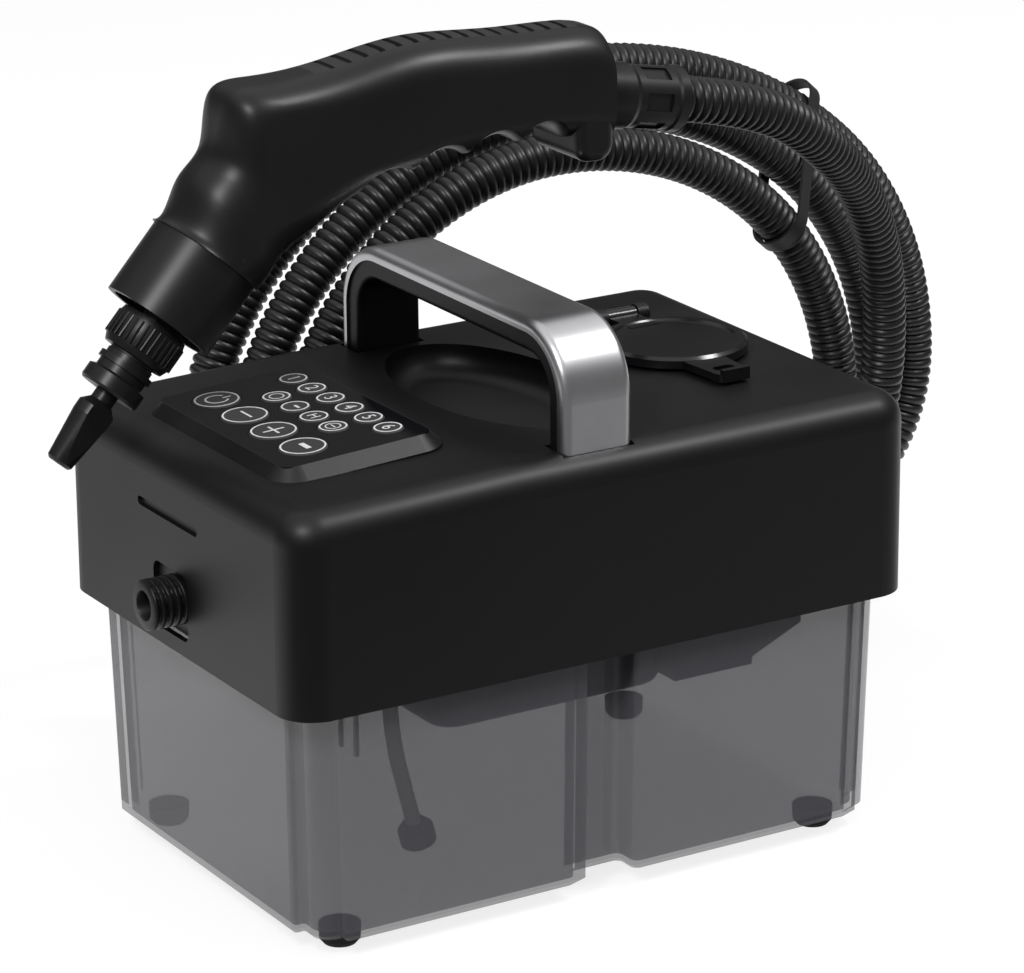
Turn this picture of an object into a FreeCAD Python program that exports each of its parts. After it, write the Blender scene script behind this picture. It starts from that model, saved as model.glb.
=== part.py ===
"""Jewelry steam cleaner: a bench machine with a water tank, a keypad, a flip filler cover,
a carry handle and a steam gun on a corrugated hose. Millimetres, +Z up, front is -Y."""
import FreeCAD, Part
import math
import os

V = FreeCAD.Vector
X = V(1, 0, 0)
Y = V(0, 1, 0)
Z = V(0, 0, 1)

# Driving dimensions of the machine
HOUSING_X = 270.0
HOUSING_Y = 184.0
RIM_Z = 98.0
TOP_Z = 177.5
WALL = 2.5
CORNER_R = 15.0
TOP_ROUND = 12.0
CREASE_X = -38.0
CREASE_SLOPE = 0.03
FIT = 0.3

# Water tank
TANK_X = 257.0
TANK_Y = 176.0
TANK_DRAFT = 2.0
TANK_WALL = 3.0
TANK_Z = 6.5
TANK_RIM_Z = 103.0
SEAL_Z = 105.0
TRAY_Z = 108.0
GROOVE_LEFT = -9.5
GROOVE_RIGHT = 10.6
GROOVE_DEPTH = 11.0
NOTCH_X = 12.5
NOTCH_Y = 17.0
NOTCH_DEPTH = 4.0
FOOT_X = 106.0
FOOT_Y = 68.0
FOOT_R = 8.0

# Tray of the head: a well for the boiler and a chute under the filler
WELL = (-46.0, 58.0, -40.0, 44.0)
CHUTE = (60.0, 119.0, -40.0, 32.0)
WELL_Z = 59.0
BOILER_R = 28.0
BOILER_Y = 2.0
BOILER_TOP = 144.0
OUTLET_DIR = V(-math.sqrt(0.5), math.sqrt(0.5), 0)
BOILER_OUTLET = V(0, 2, 130) + OUTLET_DIR * 38
INLET_DIR = V(0.8, -0.6, 0)
BOILER_INLET = V(0, 2, 132) + INLET_DIR * 38
PUMP = V(80, 57, 134)
PUMP_REACH = 34.0

# Keypad, on a plane that rises towards the handle
PANEL_X = -83.5
PANEL_Z = 181.43
PANEL_SLOPE = 0.055
PANEL_W = 63.0
PANEL_D = 100.0
POD_BEVEL = 5.0
FASCIA_T = 1.5
LARGE_KEY_R = 9.25
SMALL_KEY_R = 6.0
KEY_TRAVEL = 0.5
BOARD_DROP = 9.0

# Carry handle, an arch across the machine
HANDLE_X = (-18.0, 12.0)
HANDLE_Y = (-84.5, 80.5)
HANDLE_TOP = 222.5
HANDLE_R = 27.0
BAND_T = 5.0
CORE_T = 8.0
POCKET_Z = 171.0

# Finger recess, filler and its flip cover
DISH = (5.0, 3.0, 33.0, 60.0, 12.0)
FILLER = V(87, 3, 0)
NECK_R = 22.0
COVER_R = 29.0
COVER_Z = 178.9
COVER_T = 4.3
HINGE_Y = 42.0
HINGE_Z = 181.6
HINGE_PIN_R = 1.5
KNUCKLE_R = 3.4

# Threaded outlet in the left face
SPIGOT_Y = 2.0
SPIGOT_Z = 118.0
SPIGOT_R = 9.75
SPIGOT_BORE_R = 5.5
SPIGOT_TIP_X = -147.0

# Rear wall: outlet of the steam hose and inlet of the mains lead
OUTLET_X = -75.0
MAINS_X = 70.0

# Gun, parked above the machine in the plane y = 20
GUN_Y = 20.0
GUN_W = 40.0
BARREL_DIR = V(math.cos(math.radians(48)), 0, math.sin(math.radians(48)))
BARREL_POINT = V(-128.4, 20, 219.7)
PIPE_R = 3.0

# Hose: outer diameter, and the three upright loops behind the machine
HOSE_R = 9.25
HOSE_BORE_R = 6.0
LOOPS = 3
LOOP_HALF_WIDTH = 187.0
LOOP_SHRINK = 23.0
LOOP_CENTRE_X = 130.5
LOOP_DRIFT_X = -11.5
LOOP_Y = 158.0
LOOP_STEP_Y = -19.5
LOOP_TOP_Z = 258.0
LOOP_TOP_DROP = 12.0
LOOP_SIDE_Z = 97.0
LOOP_FLOOR_Z = 9.3
LEAD_RIBS = 60
RIB_DEPTH = 1.3


def rounded(cx, cy, w, d, r):
    """Corner list of a rectangle whose corners all have the radius r."""
    return [(cx - w / 2, cy - d / 2, r), (cx + w / 2, cy - d / 2, r),
            (cx + w / 2, cy + d / 2, r), (cx - w / 2, cy + d / 2, r)]


def outline(corners, z):
    """Closed wire at height z through (x, y, radius) corners, each rounded by a tangent arc."""
    arcs = []
    count = len(corners)
    for i, (x, y, r) in enumerate(corners):
        here = V(x, y, z)
        before = V(corners[i - 1][0], corners[i - 1][1], z) - here
        after = V(corners[(i + 1) % count][0], corners[(i + 1) % count][1], z) - here
        before.normalize()
        after.normalize()
        half = before.getAngle(after) / 2
        if r == 0:
            arcs.append((here, None, here))
            continue
        cut = r / math.tan(half)
        middle = before + after
        middle.normalize()
        bulge = here + middle * (r / math.sin(half) - r)
        arcs.append((here + before * cut, bulge, here + after * cut))
    edges = []
    for i, (start, bulge, end) in enumerate(arcs):
        if bulge is not None:
            edges.append(Part.Arc(start, bulge, end).toShape())
        onward = arcs[(i + 1) % count][0]
        if (onward - end).Length > 1e-6:
            edges.append(Part.LineSegment(end, onward).toShape())
    return Part.Wire(edges)


def prism(corners, z0, z1):
    return Part.Face(outline(corners, z0)).extrude(Z * (z1 - z0))


def drafted(low, z0, high, z1):
    """Solid with flat drafted walls between two outlines that have the same corners."""
    return Part.makeLoft([outline(low, z0), outline(high, z1)], True, True)


def box(x0, x1, y0, y1, z0, z1):
    return Part.makeBox(x1 - x0, y1 - y0, z1 - z0, V(x0, y0, z0))


def cylinder(r, base, axis, length):
    return Part.makeCylinder(r, length, base, axis)


def placed(shape, base, axis, across=None):
    """Move a shape drawn about +Z so that its Z axis follows axis from base."""
    side = across if across is not None else axis.cross(Y)
    if side.Length < 1e-6:
        side = X
    turn = FreeCAD.Rotation(side, axis.cross(side), axis, "ZXY")
    moved = shape.copy()
    moved.Placement = FreeCAD.Placement(base, turn).multiply(shape.Placement)
    return moved


def turned(profile, base=V(0, 0, 0), axis=Z):
    """Solid of revolution of a closed (radius, height) profile about an axis."""
    points = [V(r, 0, h) for r, h in profile]
    face = Part.Face(Part.makePolygon(points + points[:1]))
    return placed(face.revolve(V(0, 0, 0), Z, 360), base, axis)


def fused(first, *others):
    result = first
    for other in others:
        result = result.fuse(other)
    return result.removeSplitter()


def cut(body, *tools):
    for tool in tools:
        body = body.cut(tool)
    return body


def rounded_edges(shape, radius, wanted):
    return shape.makeFillet(radius, [edge for edge in shape.Edges if wanted(edge)])


def group(shapes):
    return Part.makeCompound(shapes)


def pan_screw(base, axis, length, r=1.5):
    """Pan head screw; base is under the head and axis points along the shank."""
    shank = cylinder(r, base, axis, length)
    head = turned([(0, 0), (0, -2.2), (1.6, -2.2), (2.8, -1.2), (2.8, 0)], base, axis)
    return shank.fuse(head)


def tangent_route(points):
    """Edges of straight runs joined by tangent arcs, and the radii of the arcs."""
    edges = []
    radii = []
    start = points[0]
    for i in range(1, len(points) - 1):
        into = points[i] - points[i - 1]
        out = points[i + 1] - points[i]
        turn = into.getAngle(out)
        cut_back = 0.45 * min(into.Length, out.Length)
        radius = cut_back / math.tan(turn / 2)
        radii.append(round(radius, 1))
        into.normalize()
        out.normalize()
        first = points[i] - into * cut_back
        last = points[i] + out * cut_back
        inward = out - into
        inward.normalize()
        bulge = points[i] + inward * (radius / math.cos(turn / 2) - radius)
        edges.append(Part.LineSegment(start, first).toShape())
        edges.append(Part.Arc(first, bulge, last).toShape())
        start = last
    edges.append(Part.LineSegment(start, points[-1]).toShape())
    return edges, radii


def tube(name, points, r):
    """Solid round tube along a tangent route; prints its radii and checks its volume."""
    edges, radii = tangent_route(points)
    path = Part.Wire(edges)
    heading = points[1] - points[0]
    heading.normalize()
    ring = Part.Wire(Part.makeCircle(r, points[0], heading))
    solid = path.makePipeShell([ring], True, False)
    ratio = solid.Volume / (math.pi * r * r * path.Length)
    print(name, "radii", radii, "length", round(path.Length, 1), "volume ratio", round(ratio, 4))
    return solid


def housing_form(inset):
    """Outer form of the housing, or the form of its inside when inset by the wall."""
    form = prism(rounded(0, 0, HOUSING_X - 2 * inset, HOUSING_Y - 2 * inset, CORNER_R - inset),
                 RIM_Z - inset, TOP_Z - inset)
    left = -HOUSING_X
    crown = Part.makePolygon([V(left, -HOUSING_Y, 0), V(-left, -HOUSING_Y, 0),
                              V(-left, -HOUSING_Y, TOP_Z - inset),
                              V(CREASE_X, -HOUSING_Y, TOP_Z - inset),
                              V(left, -HOUSING_Y, TOP_Z - inset + CREASE_SLOPE * (left - CREASE_X)),
                              V(left, -HOUSING_Y, 0)])
    form = form.common(Part.Face(crown).extrude(Y * 2 * HOUSING_Y))
    low = TOP_Z - 8

    def on_rim(edge):
        across = abs(edge.CenterOfMass.x - CREASE_X) < 1 and abs(edge.CenterOfMass.y) < 1
        return edge.BoundBox.ZMin > low and not across

    return rounded_edges(form, TOP_ROUND - inset, on_rim)


def on_panel(shape):
    """Move a shape drawn about the panel's centre, with Z out of the panel, into place."""
    angle = -math.degrees(math.atan(PANEL_SLOPE))
    moved = shape.copy()
    panel = FreeCAD.Placement(V(PANEL_X, 0, PANEL_Z), FreeCAD.Rotation(Y, angle))
    moved.Placement = panel.multiply(shape.Placement)
    return moved


def keys():
    """Names, places on the panel and radii of the fourteen keys."""
    places = []
    for i, name in enumerate(["key_power", "key_minus", "key_plus", "key_steam"]):
        places.append((name, -14.5, 33.3 - 22.2 * i, LARGE_KEY_R))
    for i in range(4):
        places.append(("key_mode_" + str(i + 1), 4.7, 21.6 - 14.4 * i, SMALL_KEY_R))
    for i in range(6):
        places.append(("key_level_" + str(i + 1), 19.8, 35.75 - 14.3 * i, SMALL_KEY_R))
    return places


def dish(depth, grow):
    """Oval bowl sunk in the top; grow widens it for the wall that lies under it."""
    cx, cy, across, along, _ = DISH
    oval = Part.Ellipse(V(cx, cy + along + grow, TOP_Z + 1), V(cx - across - grow, cy, TOP_Z + 1),
                        V(cx, cy, TOP_Z + 1))
    bowl = Part.Face(Part.Wire(oval.toShape())).extrude(Z * -(depth + 1))
    floor_z = TOP_Z - depth
    return rounded_edges(bowl, depth - 2, lambda edge: edge.BoundBox.ZMax < floor_z + 0.1)


def handle_pocket(y_side, grow):
    """Pocket of one handle leg; grow makes the block that walls it."""
    outer = HANDLE_Y[0] if y_side < 0 else HANDLE_Y[1]
    inner = outer - y_side * (BAND_T + CORE_T)
    low = min(outer, inner) - 0.4 - grow
    high = max(outer, inner) + 0.4 + grow
    return box(HANDLE_X[0] - 0.4 - grow, HANDLE_X[1] + 0.4 + grow, low, high,
               POCKET_Z - grow, TOP_Z + 5)


def handle_screw_places():
    middle = sum(HANDLE_X) / 2
    offset = BAND_T + CORE_T / 2
    return [(middle + dx, y) for dx in (-7, 7) for y in (HANDLE_Y[0] + offset, HANDLE_Y[1] - offset)]


HOUSING_SCREWS = [(x, y) for x in (-113, 113) for y in (-72, 72)]


def hinge_lugs():
    lugs = []
    for x in (FILLER.x - 12, FILLER.x + 7):
        lug = box(x, x + 5, HINGE_Y - 4, HINGE_Y + 4, TOP_Z - 2, HINGE_Z)
        lugs.append(lug.fuse(cylinder(4, V(x, HINGE_Y, HINGE_Z), X, 5)))
    return lugs


def upper_housing():
    outer = housing_form(0)
    shell = outer.cut(housing_form(WALL))
    pod = prism(rounded(0, 0, PANEL_W + 2 * POD_BEVEL, PANEL_D + 2 * POD_BEVEL, 12), -9, 0)
    pod = pod.makeChamfer(POD_BEVEL, [edge for edge in pod.Edges if edge.BoundBox.ZMin > -0.1])
    shell = fused(shell, on_panel(pod))
    bowl_wall = dish(DISH[4] + WALL, WALL).common(outer)
    pockets = [handle_pocket(side, WALL).common(outer) for side in (-1, 1)]
    posts = [cylinder(4, V(x, y, TRAY_Z), Z, TOP_Z - 1 - TRAY_Z) for x, y in HOUSING_SCREWS]
    posts = [post.common(outer) for post in posts]
    shell = fused(shell, bowl_wall, *pockets, *posts, *hinge_lugs())
    shell = cut(shell, dish(DISH[4], 0), handle_pocket(-1, 0), handle_pocket(1, 0))
    shell = cut(shell, on_panel(prism(rounded(0, 0, PANEL_W - 5, PANEL_D - 6, 3), -20, 5)))
    shell = cut(shell, on_panel(prism(rounded(0, 0, PANEL_W - 1, PANEL_D - 1, 4), -FASCIA_T, 5)))
    for x, y in handle_screw_places():
        shell = cut(shell, cylinder(1.7, V(x, y, POCKET_Z - 5), Z, 10))
    for x, y in HOUSING_SCREWS:
        shell = cut(shell, cylinder(1.5, V(x, y, TRAY_Z - 1), Z, 14))
    filler_hole = cylinder(NECK_R, V(FILLER.x, FILLER.y, TOP_Z - 10), Z, 20)
    pin_hole = cylinder(HINGE_PIN_R, V(FILLER.x - 15, HINGE_Y, HINGE_Z), X, 30)
    shell = cut(shell, filler_hole, pin_hole)
    left = -HOUSING_X / 2
    opening = prism(rounded(0, 0, 26, 27, 4), 0, WALL + 3)
    opening = placed(opening, V(left - 1, 3.5, 117), X, Z)
    slot = placed(prism(rounded(0, 0, 3.5, 47, 1.7), 0, 2.5), V(left - 1, 4.5, 150), X, Z)
    glands = [cylinder(8, V(x, HOUSING_Y / 2 - 6, 125), Y, 12) for x in (OUTLET_X, MAINS_X)]
    return cut(shell, opening, slot, *glands)


def tank_corners(inset, draft):
    """Outline of the tank: a groove in the front and a rebate at each vertical corner."""
    x = TANK_X / 2 - inset - draft
    y = TANK_Y / 2 - inset - draft
    panel_x = TANK_X / 2 - NOTCH_X - inset - draft
    panel_y = TANK_Y / 2 - NOTCH_Y - inset - draft
    column_x = x - NOTCH_DEPTH
    column_y = y - NOTCH_DEPTH
    groove_y = -y + GROOVE_DEPTH
    left = GROOVE_LEFT - inset
    right = GROOVE_RIGHT + inset
    small = 1.2
    corner = 7.0
    front = [(-column_x, -column_y, corner), (-panel_x, -column_y, small), (-panel_x, -y, small),
             (left, -y, 1.6 + inset / 2), (left, groove_y, 3), (right, groove_y, 3),
             (right, -y, 1.6 + inset / 2), (panel_x, -y, small), (panel_x, -column_y, small),
             (column_x, -column_y, corner), (column_x, -panel_y, small), (x, -panel_y, small)]
    rear = [(x, panel_y, small), (column_x, panel_y, small), (column_x, column_y, corner),
            (panel_x, column_y, small), (panel_x, y, small), (-panel_x, y, small),
            (-panel_x, column_y, small), (-column_x, column_y, corner), (-column_x, panel_y, small),
            (-x, panel_y, small), (-x, -panel_y, small), (-column_x, -panel_y, small)]
    return front + rear


def water_tank():
    """Clear tub with drafted walls and a bevelled foot edge; its rim hides in the skirt."""
    bevel = 3.0
    tub = drafted(tank_corners(0, TANK_DRAFT), TANK_Z + bevel, tank_corners(0, 0), TANK_RIM_Z)
    foot_edge = drafted(tank_corners(bevel, TANK_DRAFT), TANK_Z,
                        tank_corners(0, TANK_DRAFT), TANK_Z + bevel)
    inside = drafted(tank_corners(TANK_WALL, TANK_DRAFT), TANK_Z + TANK_WALL,
                     tank_corners(TANK_WALL, 0), TANK_RIM_Z)
    tub = fused(tub, foot_edge).cut(inside)
    seats = [cylinder(FOOT_R, V(x, y, TANK_Z - 1), Z, 2) for x, y in foot_places()]
    return cut(tub, *seats)


def foot_places():
    return [(x, y) for x in (-FOOT_X, FOOT_X) for y in (-FOOT_Y, FOOT_Y)]


def tank_feet():
    profile = [(0, 0), (FOOT_R - 1.8, 0), (FOOT_R - 0.3, 1.8), (FOOT_R, TANK_Z + 1), (0, TANK_Z + 1)]
    return group([turned(profile, V(x, y, 0)) for x, y in foot_places()])


def tank_seal():
    ring = prism(tank_corners(0, 0), TANK_RIM_Z, SEAL_Z)
    return ring.cut(prism(tank_corners(TANK_WALL, 0), TANK_RIM_Z, SEAL_Z))


def base_tray():
    """Bottom of the head: a flat tray with the boiler's well and the filler's chute below it."""
    plate = prism(rounded(0, 0, HOUSING_X - 2 * WALL - 1, HOUSING_Y - 2 * WALL - 1, 12), SEAL_Z, TRAY_Z)
    x0, x1, y0, y1 = WELL
    cx, cy = (x0 + x1) / 2, (y0 + y1) / 2
    well = prism(rounded(cx, cy, x1 - x0, y1 - y0, 12), WELL_Z, SEAL_Z)
    well = rounded_edges(well, 5, lambda edge: edge.BoundBox.ZMax < WELL_Z + 0.1)
    hollow = prism(rounded(cx, cy, x1 - x0 - 5, y1 - y0 - 5, 9.5), WELL_Z + WALL, TRAY_Z)
    hollow = rounded_edges(hollow, 3, lambda edge: edge.BoundBox.ZMax < WELL_Z + WALL + 0.1)
    c0, c1, d0, d1 = CHUTE
    slope = Part.makePolygon([V(c0, d0, SEAL_Z), V(c0, d0, WELL_Z), V(96, d0, WELL_Z), V(96, d0, 62),
                              V(c1, d0, 72), V(c1, d0, SEAL_Z), V(c0, d0, SEAL_Z)])
    chute = Part.Face(slope).extrude(Y * (d1 - d0))
    throat = box(c0 + WALL, c1 - WALL, d0 + WALL, d1 - WALL, WELL_Z - 1, SEAL_Z)
    tray = fused(plate, well, chute.cut(throat)).cut(hollow)
    tray = cut(tray, cylinder(NECK_R + 0.2, V(FILLER.x, FILLER.y, SEAL_Z - 1), Z, 5))
    tray = cut(tray, cylinder(4, V(PICKUP[0].x, PICKUP[0].y, SEAL_Z - 1), Z, 5))
    for x, y in PROBES:
        tray = cut(tray, cylinder(2, V(x, y, SEAL_Z - 1), Z, 5))
    for x, y in HOUSING_SCREWS:
        tray = cut(tray, cylinder(1.7, V(x, y, SEAL_Z - 1), Z, 5))
    return tray


def housing_screws():
    return group([pan_screw(V(x, y, SEAL_Z), Z, 14) for x, y in HOUSING_SCREWS])


def handle_arch(inset, thickness, x0, x1):
    """Arch with two rounded shoulders, thickness wide, drawn inset from the outer line."""
    y0 = HANDLE_Y[0] + inset
    y1 = HANDLE_Y[1] - inset
    top = HANDLE_TOP - inset
    r = HANDLE_R - inset
    low = POCKET_Z

    def solid(grow):
        left = y0 + grow
        right = y1 - grow
        reach = max(r - grow, 2)
        corners = [(left, low - 40, 0), (right, low - 40, 0), (right, top - grow, reach),
                   (left, top - grow, reach)]
        return prism(corners, 0, x1 - x0)

    arch = solid(0).cut(solid(thickness))
    arch = placed(arch, V(x0, 0, 0), X, Y)
    return arch.common(box(x0 - 1, x1 + 1, y0 - 1, y1 + 1, low, top + 1))


def handle_core():
    core = handle_arch(BAND_T, CORE_T, HANDLE_X[0] + 1, HANDLE_X[1] - 1)
    top = HANDLE_TOP - BAND_T - CORE_T
    core = rounded_edges(core, 2.5, lambda edge: is_hand_edge(edge, top))
    for x, y in handle_screw_places():
        core = cut(core, cylinder(1.5, V(x, y, POCKET_Z - 1), Z, 14))
    return core


def is_hand_edge(edge, height):
    box_ = edge.BoundBox
    return abs(box_.ZMin - height) < 0.1 and abs(box_.ZMax - height) < 0.1 and edge.Length > 60


def handle_band():
    band = handle_arch(0, BAND_T, HANDLE_X[0], HANDLE_X[1])
    top = HANDLE_TOP

    def outer_rim(edge):
        near_side = min(abs(edge.CenterOfMass.x - side) for side in HANDLE_X) < 0.1
        bounds = edge.BoundBox
        outside = bounds.ZMax > top - HANDLE_R - 1 and edge.Length > 35
        flank = abs(bounds.YMin - HANDLE_Y[0]) < 0.1 or abs(bounds.YMax - HANDLE_Y[1]) < 0.1
        crown = abs(bounds.ZMin - top) < 0.1
        return near_side and outside and (flank or crown)

    return rounded_edges(band, 3.5, outer_rim)


def handle_screws():
    return group([pan_screw(V(x, y, POCKET_Z - WALL), Z, 14) for x, y in handle_screw_places()])


def keypad_fascia():
    plate = prism(rounded(0, 0, PANEL_W - 1, PANEL_D - 1, 4), -FASCIA_T, 0)
    for _, x, y, r in keys():
        plate = cut(plate, cylinder(r + FIT, V(x, y, -FASCIA_T - 1), Z, FASCIA_T + 2))
    return on_panel(plate)


def key_cap(x, y, r):
    """Round key: a cap in the fascia's hole, a flange under it and a stem to its switch."""
    gap = KEY_TRAVEL + 0.1
    stem_end = -BOARD_DROP + 4 + gap
    profile = [(0, 0.5), (r - 0.6, 0.5), (r, 0), (r, -FASCIA_T), (r + 0.6, -FASCIA_T),
               (r + 0.6, -FASCIA_T - 1.2), (2.5, -FASCIA_T - 1.2), (2.5, stem_end), (0, stem_end)]
    return on_panel(turned(profile, V(x, y, 0)))


def keypad_board():
    """Circuit board under the panel with one push switch for each key and four clip posts."""
    top = -BOARD_DROP
    board = prism(rounded(0, 0, PANEL_W - 8, PANEL_D - 10, 2), top - 1.6, top)
    switches = [box(x - 3, x + 3, y - 3, y + 3, top, top + 4) for _, x, y, _ in keys()]
    posts = [cylinder(1.8, V(x, y, top), Z, BOARD_DROP - FASCIA_T) for x in (-25, 25) for y in (-43, 43)]
    return on_panel(fused(board, *switches, *posts))


def filler_neck():
    """Pipe that leads the water from the top of the housing through the tray."""
    pipe = turned([(20, 100), (NECK_R, 100), (NECK_R, COVER_Z - 0.9), (20, COVER_Z - 0.9)],
                  V(FILLER.x, FILLER.y, 0))
    return pipe


def cover_seal():
    top = COVER_Z
    low = COVER_Z - 0.9
    profile = [(16, top), (NECK_R, top), (NECK_R, low), (18.4, low), (18.4, low - 4), (16, low - 4)]
    return turned(profile, V(FILLER.x, FILLER.y, 0))


def filler_cover():
    """Disc with a raised rim, a plug below, a strap to the hinge and a lifting tab in front."""
    base = COVER_Z
    top = COVER_Z + COVER_T
    disc = turned([(0, base), (COVER_R, base), (COVER_R, top - 1.2), (COVER_R - 1.2, top),
                   (COVER_R - 4, top), (COVER_R - 4.8, top - 0.8), (0, top - 0.8)],
                  V(FILLER.x, FILLER.y, 0))
    plug = cylinder(16, V(FILLER.x, FILLER.y, base - 4.9), Z, 4.9)
    strap = box(FILLER.x - 6.5, FILLER.x + 6.5, FILLER.y + 20, HINGE_Y, base, top - 0.6)
    knuckle = cylinder(KNUCKLE_R, V(FILLER.x - 6.5, HINGE_Y, HINGE_Z), X, 13)
    tab = prism([(74, -20, 0), (92, -20, 0), (90, -47, 4), (76, -47, 4)], base, base + 3)
    lip = box(77, 89, -47, -44.5, base, top + 0.6)
    finger_hole = prism(rounded(83, -38, 9, 5, 2.2), base - 1, top + 1)
    cover = fused(disc, plug, strap, knuckle, tab, lip)
    pin_hole = cylinder(HINGE_PIN_R + 0.05, V(FILLER.x - 8, HINGE_Y, HINGE_Z), X, 16)
    return cut(cover, pin_hole, finger_hole)


def cover_hinge_pin():
    return cylinder(HINGE_PIN_R, V(FILLER.x - 12, HINGE_Y, HINGE_Z), X, 24)


def threaded_spigot():
    """Hollow outlet stub with a square flange behind the cut-out of the left face."""
    flange_x = -HOUSING_X / 2 + WALL
    flange = box(flange_x, flange_x + 2.5, -16, 22, TRAY_Z, 134)
    stub = cylinder(SPIGOT_R, V(SPIGOT_TIP_X, SPIGOT_Y, SPIGOT_Z), X, flange_x - SPIGOT_TIP_X)
    barb = turned([(0, 0), (5, 0), (4, 12), (0, 12)], V(flange_x + 2.5, SPIGOT_Y, SPIGOT_Z), X)
    bore = cylinder(SPIGOT_BORE_R, V(SPIGOT_TIP_X - 1, SPIGOT_Y, SPIGOT_Z), X, flange_x - SPIGOT_TIP_X)
    drain = cylinder(2, V(SPIGOT_TIP_X, SPIGOT_Y, SPIGOT_Z), X, 60)
    return cut(fused(stub, flange, barb), bore, drain)


PICKUP = [V(-64, -34, 120), V(-64, -34, 62), V(-52, -30, 22)]
PROBES = [(-64, -8), (-64, 4)]


def pickup_tube():
    return tube("pickup_tube", PICKUP, 3)


def inlet_filter():
    """Strainer cup at the end of the pickup tube, with a closed end and a shoulder."""
    heading = PICKUP[2] - PICKUP[1]
    heading.normalize()
    return turned([(0, 0), (4.5, 0), (7, 3), (7, 9), (5.5, 10), (0, 10)], PICKUP[2], heading)


def level_probes():
    rods = []
    for x, y in PROBES:
        rod = cylinder(1.2, V(x, y, 44), Z, 72)
        rods.append(rod.fuse(cylinder(2, V(x, y, TRAY_Z - 3), Z, 6)))
    return group(rods)


def boiler():
    """Die-cast boiler with a foot ring, a flat lid and two bosses for its tubes."""
    low = WELL_Z + WALL
    profile = [(0, low + 4), (BOILER_R - 5, low + 4), (BOILER_R - 5, low), (BOILER_R - 1, low),
               (BOILER_R, low + 4), (BOILER_R, 139), (BOILER_R - 3, BOILER_TOP), (0, BOILER_TOP)]
    body = turned(profile, V(0, BOILER_Y, 0))
    outlet = cylinder(5, BOILER_OUTLET - OUTLET_DIR * 16, OUTLET_DIR, 16)
    inlet = cylinder(4, BOILER_INLET - INLET_DIR * 16, INLET_DIR, 16)
    return fused(body, outlet, inlet)


def heating_element():
    """Tubular heater wound once round the boiler, with its two cold ends standing up."""
    ring = Part.makeTorus(BOILER_R + 3.2, 3.2, V(0, BOILER_Y, 84), Z, -180, 180, 320)
    ring.rotate(V(0, BOILER_Y, 0), Z, 110)
    ends = []
    for angle in (110, 70):
        a = math.radians(angle)
        foot = V((BOILER_R + 3.2) * math.cos(a), BOILER_Y + (BOILER_R + 3.2) * math.sin(a), 84)
        ends.append(cylinder(2.2, foot, Z, 34))
    return fused(ring, *ends)


def thermostat():
    return turned([(0, 0), (8, 0), (8, 6), (5, 6), (5, 9), (0, 9)], V(-12, BOILER_Y, BOILER_TOP), Z)


def relief_valve():
    return turned([(0, 0), (5, 0), (5, 5), (3.5, 5), (3.5, 12), (0, 12)], V(10, BOILER_Y, BOILER_TOP), Z)


def pump():
    """Solenoid pump lying on its mounts, with a coil block and two hose stubs."""
    stub, barrel = 4, 9
    half = 24
    core = turned([(0, -PUMP_REACH), (stub, -PUMP_REACH), (stub, -half), (barrel, -half), (barrel, half),
                   (stub, half), (stub, PUMP_REACH), (0, PUMP_REACH)], PUMP, X)
    coil = box(PUMP.x - 17, PUMP.x + 17, PUMP.y - 16, PUMP.y + 16, PUMP.z - 17, PUMP.z + 17)
    coil = rounded_edges(coil, 3, lambda edge: abs(edge.tangentAt(edge.FirstParameter).x) > 0.9)
    return fused(core, coil)


def pump_mounts():
    low = PUMP.z - 17 - TRAY_Z
    return group([cylinder(5, V(PUMP.x + dx, PUMP.y + dy, TRAY_Z), Z, low) for dx in (-10, 10) for dy in (-9, 9)])


def pump_tubes():
    """Silicone tubes from the pickup tube to the pump and from the pump to the boiler."""
    feed = [PICKUP[0], V(-64, -34, 140), V(-44, -51, 146), V(10, -51, 146), V(42, -36, 144), V(47, 12, 140),
            V(34, 57, 134), PUMP - X * PUMP_REACH]
    delivery = [PUMP + X * PUMP_REACH, V(125, 57, 134), V(125, -18, 134), V(104, -43, 133),
                BOILER_INLET + INLET_DIR * 35, BOILER_INLET]
    return group([tube("pump feed", feed, 4), tube("pump delivery", delivery, 4)])


def steam_tube():
    """Tube from the boiler's outlet to the rear gland of the hose."""
    route = [BOILER_OUTLET, BOILER_OUTLET + OUTLET_DIR * 30, V(OUTLET_X, 66, 125),
             V(OUTLET_X, HOUSING_Y / 2 - 12, 125)]
    return tube("steam_tube", route, 4)


def control_board():
    """Board on four posts with relays, a transformer and a capacitor."""
    z = 120
    board = box(-118, -72, -58, 58, z, z + 1.6)
    posts = [cylinder(3, V(x, y, TRAY_Z), Z, z - TRAY_Z) for x in (-113, -77) for y in (-52, 52)]
    relays = [box(-112, -96, y, y + 20, z + 1.6, z + 17) for y in (-48, -20)]
    transformer = box(-112, -84, 14, 44, z + 1.6, z + 26)
    capacitor = cylinder(6, V(-82, -30, z + 1.6), Z, 20)
    return fused(board, *posts, *relays, transformer, capacitor)


def gland(x, bore_r):
    """Strain relief in a rear wall hole: a collar outside and a nut inside."""
    wall_y = HOUSING_Y / 2
    profile = [(bore_r, -12), (7.9, -12), (7.9, 0), (11, 0), (11, 4), (9.5, 8), (bore_r, 8)]
    nut = [(7.9, -7), (12, -7), (12, -WALL), (7.9, -WALL)]
    return fused(turned(profile, V(x, wall_y, 125), Y), turned(nut, V(x, wall_y, 125), Y))


def barrel_at(s):
    """Point on the barrel's axis, s behind the front of the sleeve."""
    return BARREL_POINT + BARREL_DIR * s


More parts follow.
